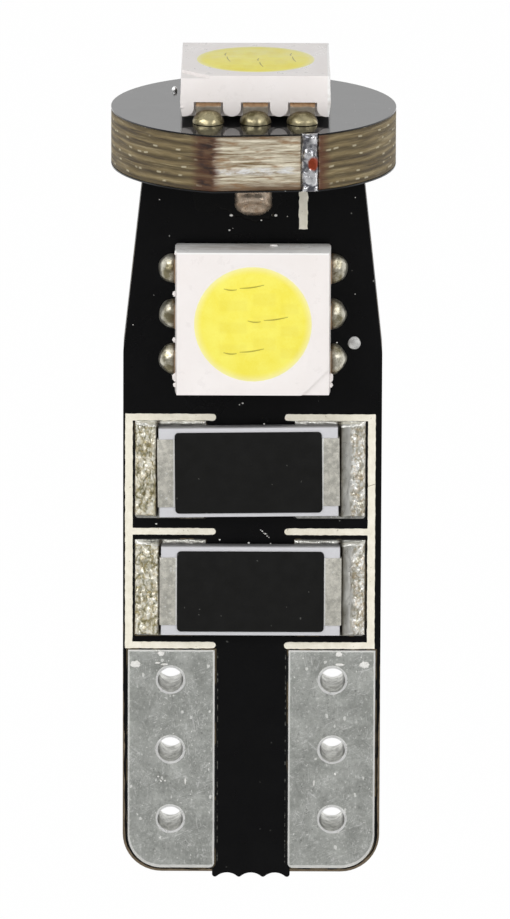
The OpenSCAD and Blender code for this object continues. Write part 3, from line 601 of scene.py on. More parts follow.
def solder_finish(name, hollow_shade, ridge_highlight, tint, share, smooth):
    """Folded solder: a dark groove of painted shade and smooth grey by the chip, painted shade in its fold hollows and
    painted highlight on their ridges, grainy outside, silver along its upper strip.
    """
    def build(tree):
        place = frame_mm(tree)
        x, y, _ = parts_of(tree, local_mm(tree))
        out = calc(tree, "ABSOLUTE", x)
        creases = folds(tree, stretch(tree, place, 1.3, 1.0, 0.85), 2.5)
        # painted shade in the hollows of the folds and painted highlight on their ridges
        silver = mix(tree, band(tree, creases, 0.02, 0.15), hollow_shade, ridge_highlight)
        film = band(tree, noise_value(tree, place, 1.5, 3.0, 0.6), 1.0 - share - 0.1, 1.0 - share + 0.1)
        grain = band(tree, noise_value(tree, place, 8.0, 2.0, 0.6), 0.48, 0.6)
        stained = calc(tree, "MAXIMUM", calc(tree, "MULTIPLY", film, 0.4), calc(tree, "MULTIPLY", grain, 0.5))
        colour = mix(tree, stained, silver, tint)
        slow = noise_value(tree, stretch(tree, place, 1.6, 1.0, 0.5), 1.6, 3.0, 0.6)
        lighter = calc(tree, "ADD", calc(tree, "MULTIPLY", out, 0.9), calc(tree, "MULTIPLY", slow, 0.8))
        grey = mix(tree, band(tree, lighter, 0.4, 0.95), srgb(128, 125, 114), srgb(240, 240, 236))
        reach = calc(tree, "ADD", out, calc(tree, "MULTIPLY", slow, 0.3))
        plain = band(tree, reach, smooth + 0.1, smooth + 0.2, 1.0, 0.0)
        colour = mix(tree, plain, colour, grey)
        strip = calc(tree, "GREATER_THAN", y, FILLET_HALF - 0.12)
        colour = mix(tree, calc(tree, "MULTIPLY", strip, 0.8), colour, srgb(240, 240, 234))
        # painted shade: a dark groove where the solder meets the chip
        edge = calc(tree, "ADD", out, calc(tree, "MULTIPLY", noise_value(tree, place, 3.0), 0.06))
        groove = band(tree, edge, GROOVE_W, GROOVE_W + 0.09, 0.9, 0.0)
        bumps = calc(tree, "ADD", creases, calc(tree, "MULTIPLY", grain, 0.12))
        return {"Base Color": mix(tree, groove, colour, srgb(60, 50, 34)),
                "Roughness": band(tree, tone(tree, place, 4.0), 0.3, 0.7, 0.26, 0.46),
                "Metallic": band(tree, stained, 0.0, 1.0, 0.75, 0.5),
                "Height": (mix(tree, plain, bumps, slow), 0.1)}
    return material(name, build)


def bead_finish(name, olive, light):
    """Smooth solder on an LED's leads: olive to silver, with brown flux against the housing and a painted highlight
    along its outer rim.
    """
    def build(tree):
        place = local_mm(tree)
        x, _, z = parts_of(tree, place)
        reach = calc(tree, "ADD", calc(tree, "ABSOLUTE", x), calc(tree, "MULTIPLY", noise_value(tree, place, 3.0), 0.2))
        near = band(tree, reach, HOUSING_HALF + 0.12, HOUSING_HALF + 0.3, 1.0, 0.0)
        silver = mix(tree, band(tree, tone(tree, place, 1.6, 0.5), 0.36, 0.64), olive, light)
        brown = mix(tree, noise_value(tree, place, 5.0), srgb(52, 38, 24), srgb(120, 92, 58))
        # painted highlight: a light band along the bead's outer rim
        rim = band(tree, reach, HOUSING_HALF + 0.46, HOUSING_HALF + 0.56)
        silver = mix(tree, calc(tree, "MULTIPLY", rim, 0.8), silver, light)
        return {"Base Color": mix(tree, near, silver, brown),
                "Roughness": band(tree, tone(tree, place, 3.0), 0.3, 0.7, 0.3, 0.46),
                "Metallic": band(tree, near, 0.0, 1.0, 0.95, 0.5),
                "Height": (noise_value(tree, place, 2.4, 2.0, 0.5), 0.06)}
    return material(name, build)


def joint_finish():
    """Solder between the boards, golden brown under its flux."""
    def build(tree):
        place = frame_mm(tree)
        pink = mix(tree, band(tree, tone(tree, place, 1.8, 0.6), 0.3, 0.7), srgb(188, 160, 132), srgb(250, 234, 214))
        return {"Base Color": pink, "Roughness": band(tree, tone(tree, place, 4.0), 0.3, 0.7, 0.2, 0.38),
                "Height": (noise_value(tree, place, 2.0, 2.0, 0.5), 0.04)}
    return material("joint_solder", build, Metallic=0.75)


def flux_finish():
    """Clear flux that ran out over the black mask."""
    def build(tree):
        place = frame_mm(tree)
        dark = mix(tree, tone(tree, place, 2.0), srgb(7, 7, 7), srgb(12, 12, 12))
        return {"Base Color": dark, "Roughness": band(tree, noise_value(tree, place, 3.0), 0.3, 0.7, 0.04, 0.16),
                "Height": (noise_value(tree, place, 2.0, 3.0, 0.6), 0.03)}
    return material("clear_flux", build, Specular_IOR_Level=0.15)


def edge_solder_finish():
    """Solder in the disc's half hole, torn down to red copper in one spot, with painted shade in its folds and painted
    highlight on their ridges.
    """
    def build(tree):
        place = local_mm(tree)
        along, up, _ = parts_of(tree, place)
        # painted shade in the hollows of the folds and painted highlight on their ridges
        silver = mix(tree, band(tree, folds(tree, place, 2.2), 0.05, 0.22), srgb(112, 112, 118), srgb(246, 246, 248))
        spot_x = calc(tree, "SUBTRACT", along, 0.1)
        spot_z = calc(tree, "MULTIPLY", calc(tree, "SUBTRACT", up, 0.98), 0.75)
        spot = calc(tree, "SQRT", calc(tree, "ADD", calc(tree, "MULTIPLY", spot_x, spot_x),
                                       calc(tree, "MULTIPLY", spot_z, spot_z)))
        spot = calc(tree, "ADD", spot, calc(tree, "MULTIPLY", noise_value(tree, place, 5.0), 0.1))
        red = band(tree, spot, 0.2, 0.26, 1.0, 0.0)
        return {"Base Color": mix(tree, red, silver, srgb(150, 62, 34)),
                "Roughness": band(tree, tone(tree, place, 4.0), 0.3, 0.7, 0.16, 0.34),
                "Metallic": band(tree, red, 0.0, 1.0, 0.9, 0.55),
                "Height": (folds(tree, place, 2.2), 0.12)}
    return material("edge_solder", build)


def speckled_metal_finish(name, dark, light, scale, metallic, rough):
    """Plain grainy metal for small parts."""
    def build(tree):
        place = frame_mm(tree)
        grey = mix(tree, band(tree, tone(tree, place, scale, 0.9), 0.3, 0.7), dark, light)
        flecks = specks(tree, place, 2.2 * scale, 0.25, 0.22)
        grey = mix(tree, calc(tree, "MULTIPLY", flecks, 0.6), grey, srgb(244, 244, 242))
        return {"Base Color": grey, "Roughness": band(tree, tone(tree, place, 2 * scale), 0.3, 0.7, rough - 0.08, rough + 0.1),
                "Height": (noise_value(tree, place, 2 * scale, 4.0, 0.65), 0.02)}
    return material(name, build, Metallic=metallic)


def alumina_finish():
    """White ceramic with a fine sintered grain, its sides darkened towards the board as painted shade."""
    def build(tree):
        place = frame_mm(tree)
        _, _, up = parts_of(tree, local_mm(tree))
        white = mix(tree, tone(tree, place, 2.0, 0.6), srgb(224, 224, 228), srgb(242, 242, 246))
        # painted shade: the sides darken towards the board, where shade falls under the chip
        shade_reach = calc(tree, "SUBTRACT", up, calc(tree, "MULTIPLY", noise_value(tree, place, 2.0, 3.0, 0.6), 0.1))
        white = mix(tree, band(tree, shade_reach, 0.24, 0.6, 0.85, 0.0), white, srgb(58, 57, 55))
        return {"Base Color": white, "Roughness": band(tree, tone(tree, place, 6.0), 0.3, 0.7, 0.5, 0.65),
                "Height": (noise_value(tree, place, 12.0, 3.0, 0.7), 0.008)}
    return material("white_alumina", build)


def terminal_finish():
    """Dull grainy tin of the chips' ends, with a painted highlight line along the overcoat."""
    def build(tree):
        place = frame_mm(tree)
        x, _, _ = parts_of(tree, local_mm(tree))
        grey = mix(tree, band(tree, tone(tree, place, 6.0, 1.2), 0.3, 0.7), srgb(188, 186, 176), srgb(228, 225, 214))
        flecks = specks(tree, place, 6.6, 0.3, 0.24)
        grey = mix(tree, calc(tree, "MULTIPLY", flecks, 0.6), grey, srgb(244, 244, 242))
        # painted highlight: a light line on the terminal along the overcoat's edge
        line = calc(tree, "LESS_THAN", calc(tree, "ABSOLUTE", x), OVERCOAT_HALF + 0.05)
        return {"Base Color": mix(tree, calc(tree, "MULTIPLY", line, 0.8), grey, srgb(240, 240, 238)),
                "Roughness": band(tree, tone(tree, place, 6.0), 0.3, 0.7, 0.38, 0.55),
                "Height": (noise_value(tree, place, 6.0, 4.0, 0.65), 0.03)}
    return material("terminal_metal", build, Metallic=0.7)


def overcoat_finish():
    """Black glaze on the resistors, faintly orange-peeled and dusty."""
    def build(tree):
        place = frame_mm(tree)
        black = mix(tree, tone(tree, place, 1.2, 0.5), srgb(15, 15, 14), srgb(22, 22, 21))
        dust = specks(tree, place, 4.0, 0.1, 0.1)
        black = mix(tree, calc(tree, "MULTIPLY", dust, 0.25), black, srgb(150, 150, 145))
        return {"Base Color": black, "Roughness": band(tree, tone(tree, place, 2.4), 0.3, 0.7, 0.34, 0.5),
                "Height": (noise_value(tree, place, 3.0, 3.0, 0.6), 0.012)}
    return material("black_overcoat", build, Specular_IOR_Level=0.22)


def die_finish():
    """Blue-grey die with an uneven tone."""
    def build(tree):
        place = frame_mm(tree)
        blue = mix(tree, tone(tree, place, 3.0, 0.5), srgb(150, 172, 200), srgb(186, 204, 224))
        return {"Base Color": blue, "Roughness": band(tree, tone(tree, place, 5.0), 0.3, 0.7, 0.2, 0.35)}
    return material("led_die", build)


def gold_finish():
    """Drawn gold wire."""
    def build(tree):
        place = frame_mm(tree)
        gold = mix(tree, tone(tree, place, 6.0, 0.5), srgb(206, 160, 84), srgb(240, 200, 122))
        return {"Base Color": gold, "Roughness": band(tree, tone(tree, place, 9.0), 0.3, 0.7, 0.25, 0.4)}
    return material("gold_wire", build, Metallic=1.0)


def dust_finish():
    """Pale dust and splashed solder."""
    def build(tree):
        place = frame_mm(tree)
        pale = mix(tree, tone(tree, place, 6.0), srgb(214, 213, 207), srgb(252, 251, 248))
        return {"Base Color": pale, "Roughness": band(tree, tone(tree, place, 9.0), 0.3, 0.7, 0.3, 0.6)}
    return material("pale_dust", build)


# Meshes

def keep_local(mesh, place, corner_values=None):
    """Keeps each point's place in the piece's local frame, in millimetres, for its finish."""
    if corner_values is not None:
        values = mesh.attributes.new("local_mm", "FLOAT_VECTOR", "CORNER")
        values.data.foreach_set("vector", np.array(corner_values, np.float32).ravel())
        return
    back = np.array(place.inverted())
    points = np.zeros(len(mesh.vertices) * 3, np.float32)
    mesh.vertices.foreach_get("co", points)
    points = points.reshape(-1, 3) @ back[:3, :3].T + back[:3, 3]
    values = mesh.attributes.new("local_mm", "FLOAT_VECTOR", "POINT")
    values.data.foreach_set("vector", points.astype(np.float32).ravel())


def seat(name, mesh, finishes, replaced=(), place=IDENTITY, sharp=35.0, corner_values=None):
    """Makes a piece of a mesh that is in the frame's millimetres, and lets it ride on the bulb."""
    keep_local(mesh, place, corner_values)
    mesh.transform(Matrix.Scale(MM, 4))
    mesh.shade_smooth()
    mesh.set_sharp_from_angle(angle=math.radians(sharp))
    for finish in finishes:
        mesh.materials.append(finish)
    made = bpy.data.objects.new(name, mesh)
    bpy.context.scene.collection.objects.link(made)
    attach(made, "root")
    if replaced:
        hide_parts(*replaced)
    return made


def mesh_of(name, points, faces, place=IDENTITY):
    """Mesh from points in a local frame, put in its place."""
    mesh = bpy.data.meshes.new(name)
    mesh.from_pydata([tuple(point) for point in points], [], faces)
    mesh.transform(place)
    return mesh


def softened(node, name, finishes, width, place=IDENTITY, segments=2, edge_finish=0, extra=None):
    """The node's own form with its sharp edges rounded, as a piece that stands for it."""
    work = bmesh.new()
    work.from_mesh(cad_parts[node].data)
    bmesh.ops.scale(work, vec=(1 / MM,) * 3, verts=work.verts)
    bmesh.ops.remove_doubles(work, verts=work.verts, dist=0.0005)
    bmesh.ops.dissolve_limit(work, angle_limit=math.radians(1), verts=work.verts, edges=work.edges)
    edges = [e for e in work.edges if len(e.link_faces) == 2 and e.calc_face_angle() > math.radians(38)]
    bmesh.ops.bevel(work, geom=edges, offset=width, segments=segments, profile=0.5, affect="EDGES",
                    clamp_overlap=True, material=edge_finish if edge_finish else -1)
    if extra:
        extra(work)
    bmesh.ops.recalc_face_normals(work, faces=work.faces)
    mesh = bpy.data.meshes.new(name)
    work.to_mesh(mesh)
    work.free()
    mesh.materials.clear()
    return seat(name, mesh, finishes, [node], place)


def grid_faces(rows, columns, start=0, closed=False):
    """Quads over a grid of points kept row by row. Closed joins each row's end to its start."""
    faces = []
    for row in range(rows - 1):
        for column in range(columns if closed else columns - 1):
            after = (column + 1) % columns
            a, b = start + row * columns + column, start + row * columns + after
            faces.append((a, b, b + columns, a + columns))
    return faces


def lump(point, scale, seed):
    """Smooth seeded unevenness from -1 to 1 at a point in millimetres."""
    return noise.noise(Vector(point) * scale + Vector((17.3 * seed, 5.1 * seed, 9.7)))


def dome(centre, out, back, side, height, seed, lumps=0.08, rows=12, columns=44):
    """Points and faces of a lumpy dome that reaches out along +X, back along -X and sideways along Y."""
    points = []
    for row in range(rows):
        lean = math.pi / 2 * (row + 1) / rows
        for column in range(columns):
            turn = 2 * math.pi * column / columns
            reach = out if math.cos(turn) > 0 else back
            spot = Vector((reach * math.cos(turn) * math.sin(lean), side * math.sin(turn) * math.sin(lean),
                           height * math.cos(lean)))
            spot *= 1 + lumps * lump(spot + Vector(centre), 3.2, seed)
            points.append((centre[0] + spot.x, centre[1] + spot.y, centre[2] + max(spot.z, 0.0)))
    points.append((centre[0], centre[1], centre[2] + height * (1 + lumps * lump(centre, 3.2, seed))))
    faces = [tuple(reversed(face)) for face in grid_faces(rows, columns, closed=True)]
    top = len(points) - 1
    faces += [(top, column, (column + 1) % columns) for column in range(columns)]
    faces.append(tuple(reversed(range((rows - 1) * columns, rows * columns))))
    return points, faces


def rim_ring(radius, wide, high, seed, steps=8, columns=56):
    """Points and faces of an uneven ring of oval section round the local Z axis."""
    points = []
    for step in range(steps):
        lean = 2 * math.pi * step / steps
        for column in range(columns):
            turn = 2 * math.pi * column / columns
            rough = 1 + 0.35 * lump((math.cos(turn), math.sin(turn), 0), 2.2, seed)
            reach = radius + wide * rough * math.cos(lean)
            points.append((reach * math.cos(turn), reach * math.sin(turn), high * rough * math.sin(lean)))
    faces = grid_faces(steps, columns, closed=True)
    last = (steps - 1) * columns
    faces += [(last + i, last + (i + 1) % columns, (i + 1) % columns, i) for i in range(columns)]
    return points, faces


def relief(x_span, y_span, height_at, columns, rows):
    """Points and faces of a closed slab on Z = 0 whose top follows height_at(x, y)."""
    points = []
    for row in range(rows):
        y = y_span[0] + (y_span[1] - y_span[0]) * row / (rows - 1)
        for column in range(columns):
            x = x_span[0] + (x_span[1] - x_span[0]) * column / (columns - 1)
            points.append((x, y, height_at(x, y)))
    faces = grid_faces(rows, columns)
    rim = list(range(columns)) + [row * columns + columns - 1 for row in range(1, rows)]
    rim += [(rows - 1) * columns + column for column in range(columns - 2, -1, -1)]
    rim += [row * columns for row in range(rows - 2, 0, -1)]
    foot = len(points)
    points += [(points[index][0], points[index][1], 0.0) for index in rim]
    count = len(rim)
    faces += [(rim[i], foot + i, foot + (i + 1) % count, rim[(i + 1) % count]) for i in range(count)]
    faces.append(tuple(reversed(range(foot, foot + count))))
    return points, faces


def joined(shapes):
    """Several (points, faces) as one."""
    points, faces = [], []
    for some_points, some_faces in shapes:
        start = len(points)
        points += some_points
        faces += [tuple(start + index for index in face) for face in some_faces]
    return points, faces


def mirrored(shape):
    """A shape flipped to -X."""
    points, faces = shape
    return [(-x, y, z) for x, y, z in points], [tuple(reversed(face)) for face in faces]


# Blade

def blade(finishes):
    softened("blade_board", "blade_laminate", [finishes["blade_laminate"]], 0.02)
    for side in ("front", "back"):
        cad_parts[f"blade_mask_{side}"].data.materials.clear()
        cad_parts[f"blade_mask_{side}"].data.materials.append(finishes["blade_mask"])
    for number, side in enumerate(("left", "right")):
        softened(f"{side}_contact", f"{side}_contact_tinned", [finishes["tin"], finishes["bright_tin"]],
                 0.045, segments=3, edge_finish=1)
        hole_rims(side, finishes, 3 + number)


def out_of_face(side, x, y, z):
    """Frame of a part that stands out of the blade's front, for side -1, or its back, for 1."""
    return Matrix.Translation((x, side * y, z)) @ Matrix.Rotation(-side * math.pi / 2, 4, "X")


RIM_HALF, RIM_H = 0.045, 0.03


def hole_rims(side, finishes, seed):
    """Raised rims of worn tin round a contact's three plated holes, on both faces."""
    rng = random.Random(seed)
    x = HOLE_X if side == "right" else -HOLE_X
    shapes = []
    for row in range(3):
        for face in (-1, 1):
            turn = out_of_face(face, x, LAND_Y, HOLE_Z + HOLE_PITCH * row)
            points, faces = rim_ring(HOLE_R + RIM_HALF, RIM_HALF, RIM_H, rng.uniform(0, 40))
            shapes.append(([turn @ Vector(point) for point in points], faces))
    points, faces = joined(shapes)
    seat(f"{side}_hole_rims", mesh_of(f"{side}_hole_rims", points, faces), [finishes["bright_tin"]])


def via_caps(finishes):
    """Solder domes that close the small via on both faces."""
    low, high = mm_box("signal_via")
    middle = (low + high) / 2
    radius = (high.x - low.x) / 2 + 0.02
    shapes = []
    for side in (-1, 1):
        points, faces = dome((0, 0, 0), radius, radius, radius, 0.07, 31 + side, 0.1)
        turn = out_of_face(side, middle.x, MASK_Y, middle.z)
        shapes.append(([turn @ Vector(point) for point in points], faces))
    points, faces = joined(shapes)
    seat("signal_via_caps", mesh_of("signal_via_caps", points, faces), [finishes["via"]], ["signal_via"])


# Legend

LINE_HALF = 0.115
RISE_LOW, RISE_HIGH = 4.04, 4.30
LINE_IN = 1.18
BAR_MIDDLE, BAR_HALF, BAR_FOOT = 1.78, 0.15, 22.85


def printed_frame():
    """Outline of the ink round the chips on the right half: a back with three round-ended prongs."""
    outline = [(RISE_HIGH, LEGEND_LINES[0] - LINE_HALF), (RISE_HIGH, LEGEND_LINES[2] + LINE_HALF)]
    for z in reversed(LEGEND_LINES):
        outline.append((RISE_LOW, z + LINE_HALF))
        for step in range(9):
            turn = math.pi / 2 + math.pi * step / 8
            outline.append((LINE_IN + LINE_HALF * (1 + math.cos(turn)), z + LINE_HALF * math.sin(turn)))
        if z != LEGEND_LINES[0]:
            outline.append((RISE_LOW, z - LINE_HALF))
    return outline


def printed_bar():
    return [(BAR_MIDDLE - BAR_HALF, BLADE_TOP), (BAR_MIDDLE - BAR_HALF, BAR_FOOT),
            (BAR_MIDDLE + BAR_HALF, BAR_FOOT), (BAR_MIDDLE + BAR_HALF, BLADE_TOP)]


def ragged(outline, seed, step=0.05, depth=0.014):
    """The outline in short steps, with the uneven edge of screen-printed ink."""
    made = []
    for (x0, z0), (x1, z1) in zip(outline, outline[1:] + outline[:1]):
        length = math.hypot(x1 - x0, z1 - z0)
        count = max(1, round(length / step))
        for index in range(count):
            share = index / count
            x, z = x0 + (x1 - x0) * share, z0 + (z1 - z0) * share
            made.append((x + depth * lump((x, 0, z), 6.0, seed), z + depth * lump((x, 3, z), 6.0, seed)))
    return made


def legend(side, finishes, seed):
    """Ink of one face, printed on the mask."""
    right, left, bar = printed_frame(), [(-x, z) for x, z in reversed(printed_frame())], printed_bar()
    shapes = []
    for number, outline in enumerate((right, left, bar)):
        edge = ragged(outline, seed + number, depth=0.03 if outline is bar else 0.014)
        count = len(edge)
        points = [(x, -LEGEND_Y, z) for x, z in edge] + [(x, -MASK_Y, z) for x, z in edge]
        faces = [tuple(reversed(range(count))), tuple(range(count, 2 * count))]
        faces += [(i, (i + 1) % count, count + (i + 1) % count, count + i) for i in range(count)]
        shapes.append((points, faces))
    points, faces = joined(shapes)
    place = Matrix.Translation((PRINT_X, 0, 0))
    if side == "back":
        place = to_back(place)
    mesh = mesh_of(f"{side}_legend_ink", points, faces, place)
    work = bmesh.new()
    work.from_mesh(mesh)
    bmesh.ops.recalc_face_normals(work, faces=work.faces)
    work.to_mesh(mesh)
    work.free()
    seat(f"{side}_legend_ink", mesh, [finishes["legend"]], [f"{side}_legend"])


# Disc

def disc_outline(step=0.05):
    """Points round the disc as (x, y, along, outward x, outward y). Along is 0 in the middle of the flat."""
    half_turn = math.asin(FLAT_W / 2 / DISC_R)
    reach = math.sqrt(DISC_R ** 2 - (FLAT_W / 2) ** 2)
    arc = DISC_R * (2 * math.pi - 2 * half_turn)
    made = []
    count = round(FLAT_W / step)
    for index in range(count):
        along = -FLAT_W / 2 + FLAT_W * index / count
        made.append((along, -reach, along, 0.0, -1.0))
    count = round(arc / step)
    for index in range(count):
        walked = arc * index / count
        turn = -math.pi / 2 + half_turn + walked / DISC_R
        x, y = math.cos(turn), math.sin(turn)
        made.append((DISC_R * x, DISC_R * y, FLAT_W / 2 + walked, x, y))
    return made


def disc_cut(along, up, thickness):
    """How far the rim lies in from the disc's outline: sawn cloth, torn flat, half hole and broken edges."""
    on_flat = abs(along) < FLAT_W / 2
    deep = 0.05 if on_flat else 0.009
    cut = deep * (0.5 + 0.5 * noise.fractal(Vector((along * 0.9, up * 8.0, 4.2)), 1.0, 2.0, 3))
    from_edge = min(up, thickness - up)
    cut += 0.035 * max(0.0, 1 - from_edge / 0.05) ** 2
    from_hole = abs(along - (FLAT_W / 2 - 0.31))
    if from_hole < EDGE_HOLE_R:
        cut += math.sqrt(EDGE_HOLE_R ** 2 - from_hole ** 2)
    return max(cut, 0.004)


def disc_board(finishes):
    """Laminate of the disc: layered rim, torn flat with its half hole, and lightly broken edges."""
    outline = disc_outline()
    thickness = DISC_HIGH.z - DISC_LOW.z
    edge_rows = (0.0, 0.012, 0.03, 0.05)
    middle_rows = [0.05 + (thickness - 0.1) * step / 26 for step in range(1, 26)]
    levels = list(edge_rows) + middle_rows + [thickness - level for level in reversed(edge_rows)]
    total = FLAT_W + DISC_R * (2 * math.pi - 2 * math.asin(FLAT_W / 2 / DISC_R))
    points = []
    for up in levels:
        for x, y, along, out_x, out_y in outline:
            near = along if along < total / 2 else along - total
            cut = disc_cut(near, up, thickness)
            points.append((x - out_x * cut, y - out_y * cut, up))
    columns = len(outline)
    faces = grid_faces(len(levels), columns, closed=True)
    corner_values = []
    for row in range(len(levels) - 1):
        for column in range(columns):
            start = outline[column][2]
            end = outline[column + 1][2] if column + 1 < columns else total - FLAT_W / 2
            shift = total if start >= total / 2 else 0.0
            low, high = levels[row], levels[row + 1]
            corner_values += [(start - shift, low, 0), (end - shift, low, 0), (end - shift, high, 0),
                              (start - shift, high, 0)]
    last = (len(levels) - 1) * columns
    for ring, up, order in ((0, 0.0, -1), (last, thickness, 1)):
        loop = list(range(columns))[::order]
        faces.append(tuple(ring + index for index in loop))
        corner_values += [(outline[index][2], up, 0) for index in loop]
    place = Matrix.Translation((0, 0, DISC_LOW.z)) @ Matrix.Rotation(FLAT_TURN, 4, "Z")
    mesh = mesh_of("disc_laminate", points, faces, place)
    seat("disc_laminate", mesh, [finishes["disc_laminate"]], ["disc_board"],
         sharp=50.0, corner_values=corner_values)
    for node in ("disc_mask_top", "disc_mask_bottom"):
        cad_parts[node].data.materials.clear()
        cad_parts[node].data.materials.append(finishes["disc_mask"])


def edge_solder(finishes):
    """Solder that fills the half hole in the disc's flat, a little proud of it."""
    low, high = mm_box("edge_solder")
    reach = math.sqrt(DISC_R ** 2 - (FLAT_W / 2) ** 2)
    height = high.z - low.z

    def proud(x, y):
        reach = 0.3 + 0.02 * lump((0, y, 2), 2.2, 6 if x < 0 else 8)
        across = min(1.0, abs(x) / reach)
        ends = min(1.0, min(y, height - y) / 0.12)
        round_part = math.sqrt(max(0.0, 1 - across ** 2.4))
        body = (0.2 + 0.12 * lump((x, y, 0), 2.4, 3)) * round_part
        return max(0.0, body * (0.5 + 0.5 * math.sqrt(ends)) + 0.06 * round_part)

    points, faces = relief((-0.31, 0.31), (0, height), proud, 36, 96)
    hole = FLAT_W / 2 - 0.31
    place = (Matrix.Rotation(FLAT_TURN, 4, "Z") @ Matrix.Translation((hole, -reach + 0.14, low.z))
             @ Matrix.Rotation(math.radians(90), 4, "X"))
    mesh = mesh_of("edge_solder_fill", points, faces, place)
    seat("edge_solder_fill", mesh, [finishes["edge_solder"]], ["edge_solder"], place)


# LEDs

def add_flakes(work, spots, place):
    """Thin flakes of moulding flash at (x, y, z, reach along X, along Y) in the LED's frame."""
    for number, (x, y, z, wide, long) in enumerate(spots):
        made = bmesh.ops.create_icosphere(work, subdivisions=3, radius=1.0)["verts"]
        for vert in made:
            rough = 1 + 0.35 * lump(vert.co, 1.6, 50 + number)
            local = Vector((x + wide * vert.co.x * rough, y + long * vert.co.y * rough, z + 0.05 * vert.co.z))
            vert.co = place @ local


FLASH = {
    "front": [(2.65, -2.0, 1.05, 0.1, 0.16), (-2.65, -2.0, 1.05, 0.1, 0.15), (-2.63, -2.3, 0.95, 0.09, 0.09),
              (2.65, -2.28, 0.9, 0.09, 0.1), (-2.67, -0.8, 0.6, 0.08, 0.09), (-2.67, 0.82, 0.6, 0.08, 0.1),
              (-2.63, 2.42, 1.3, 0.05, 0.09), (0.7, 2.56, 0.75, 0.14, 0.05), (-0.9, -2.56, 0.8, 0.3, 0.03),
              (1.3, -2.56, 1.0, 0.16, 0.03)],
    "back": [(-2.64, -1.9, 0.9, 0.06, 0.1), (2.64, 2.2, 0.8, 0.06, 0.1), (0.4, -2.56, 0.8, 0.2, 0.03)],
    "top": [(2.62, -2.5, 0.5, 0.05, 0.06)]}

BEAD_OUT, BEAD_BACK, BEAD_SIDE, BEAD_H = 0.55, 0.16, 0.54, 0.44


def lead_beads(seed):
    """Six half-round beads of solder in the LED's frame, one outside each lead."""
    rng = random.Random(seed)
    shapes = []
    for side in (1, -1):
        for row in (-1, 0, 1):
            centre = (HOUSING_HALF + 0.03, row * LEAD_PITCH * side, 0)
            shape = dome(centre, BEAD_OUT * rng.uniform(0.94, 1.02), BEAD_BACK, BEAD_SIDE * rng.uniform(0.97, 1.0),
                         BEAD_H * rng.uniform(0.9, 1.0), rng.uniform(0, 40), 0.08)
            shapes.append(shape if side > 0 else mirrored(shape))
    return joined(shapes)


def led(side, finishes, seed):
    """One LED: moulded housing, bent leads, dies, bond wires, phosphor and its six solder beads."""
    place = LED_PLACES[side]
    softened(f"{side}_led_housing", f"{side}_led_moulding", [finishes["housing"]], 0.05,
             place, 3, extra=lambda work: add_flakes(work, FLASH[side], place))
    softened(f"{side}_led_leads", f"{side}_led_bent_leads", [finishes["leads"]], 0.02, place)
    softened(f"{side}_led_lens", f"{side}_led_phosphor", [finishes["phosphor"]], 0.01, place)
    for piece in ("dies", "wires"):
        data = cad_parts[f"{side}_led_{piece}"].data
        data.materials.clear()
        data.materials.append(finishes[piece])
    points, faces = lead_beads(seed)
    mesh = mesh_of(f"{side}_led_beads", points, faces, place)
    finish = finishes["top_beads" if side == "top" else "beads"]
    seat(f"{side}_led_beads", mesh, [finish], [f"{side}_led_solder"], place)


# Chip resistors

SMOOTH = {"left": 0.0, "right": 0.4}
LAND_IN = 1.53
LAND_HALF = 1.7
FILLET_HALF = 1.67


def chip_fillet(length, smooth, seed):
    """Lumpy solder from a chip's end, at X = 0, out to the end of its land. Up to smooth it has only slow folds."""
    def height(x, y):
        u = x / length
        v = abs(y) / FILLET_HALF
        slope = 0.12 + 0.32 * (1 - u) ** 1.6 - 0.2 * max(0.0, 1 - x / GROOVE_W)
        end = math.sqrt(max(0.0, 1 - max(0.0, (u - 0.84) / 0.16) ** 2))
        side = math.sqrt(max(0.0, 1 - max(0.0, (v - 0.93) / 0.07) ** 2))
        fine = min(1.0, max(0.0, (x - smooth) / 0.12))
        crumple = (0.4 + 0.6 * fine) * abs(lump((1.5 * x, 0.6 * y, 0), 2.2, seed))
        crumple += 0.35 * fine * abs(lump((x, y, 1), 5.5, seed))
        return max(0.012, (slope - 0.05 + 0.22 * crumple) * end * side)

    return relief((0, length), (-FILLET_HALF, FILLET_HALF), height, 48, 150)


def land_bead(start, end, seed):
    """Uneven strip of solder along a land's upper edge, from X = start to X = end."""
    low, high = LAND_HALF - 0.15, LAND_HALF - 0.01

    def height(x, y):
        across = math.sqrt(max(0.0, 1 - ((y - low) / (high - low) * 2 - 1) ** 2))
        ends = min(1.0, (x - start) / 0.1, (end - x) / 0.1)
        return max(0.01, (0.07 + 0.09 * lump((x, y, 0), 2.8, seed)) * across * math.sqrt(max(0.0, ends)))

    return relief((start, end), (low, high), height, 90, 12)


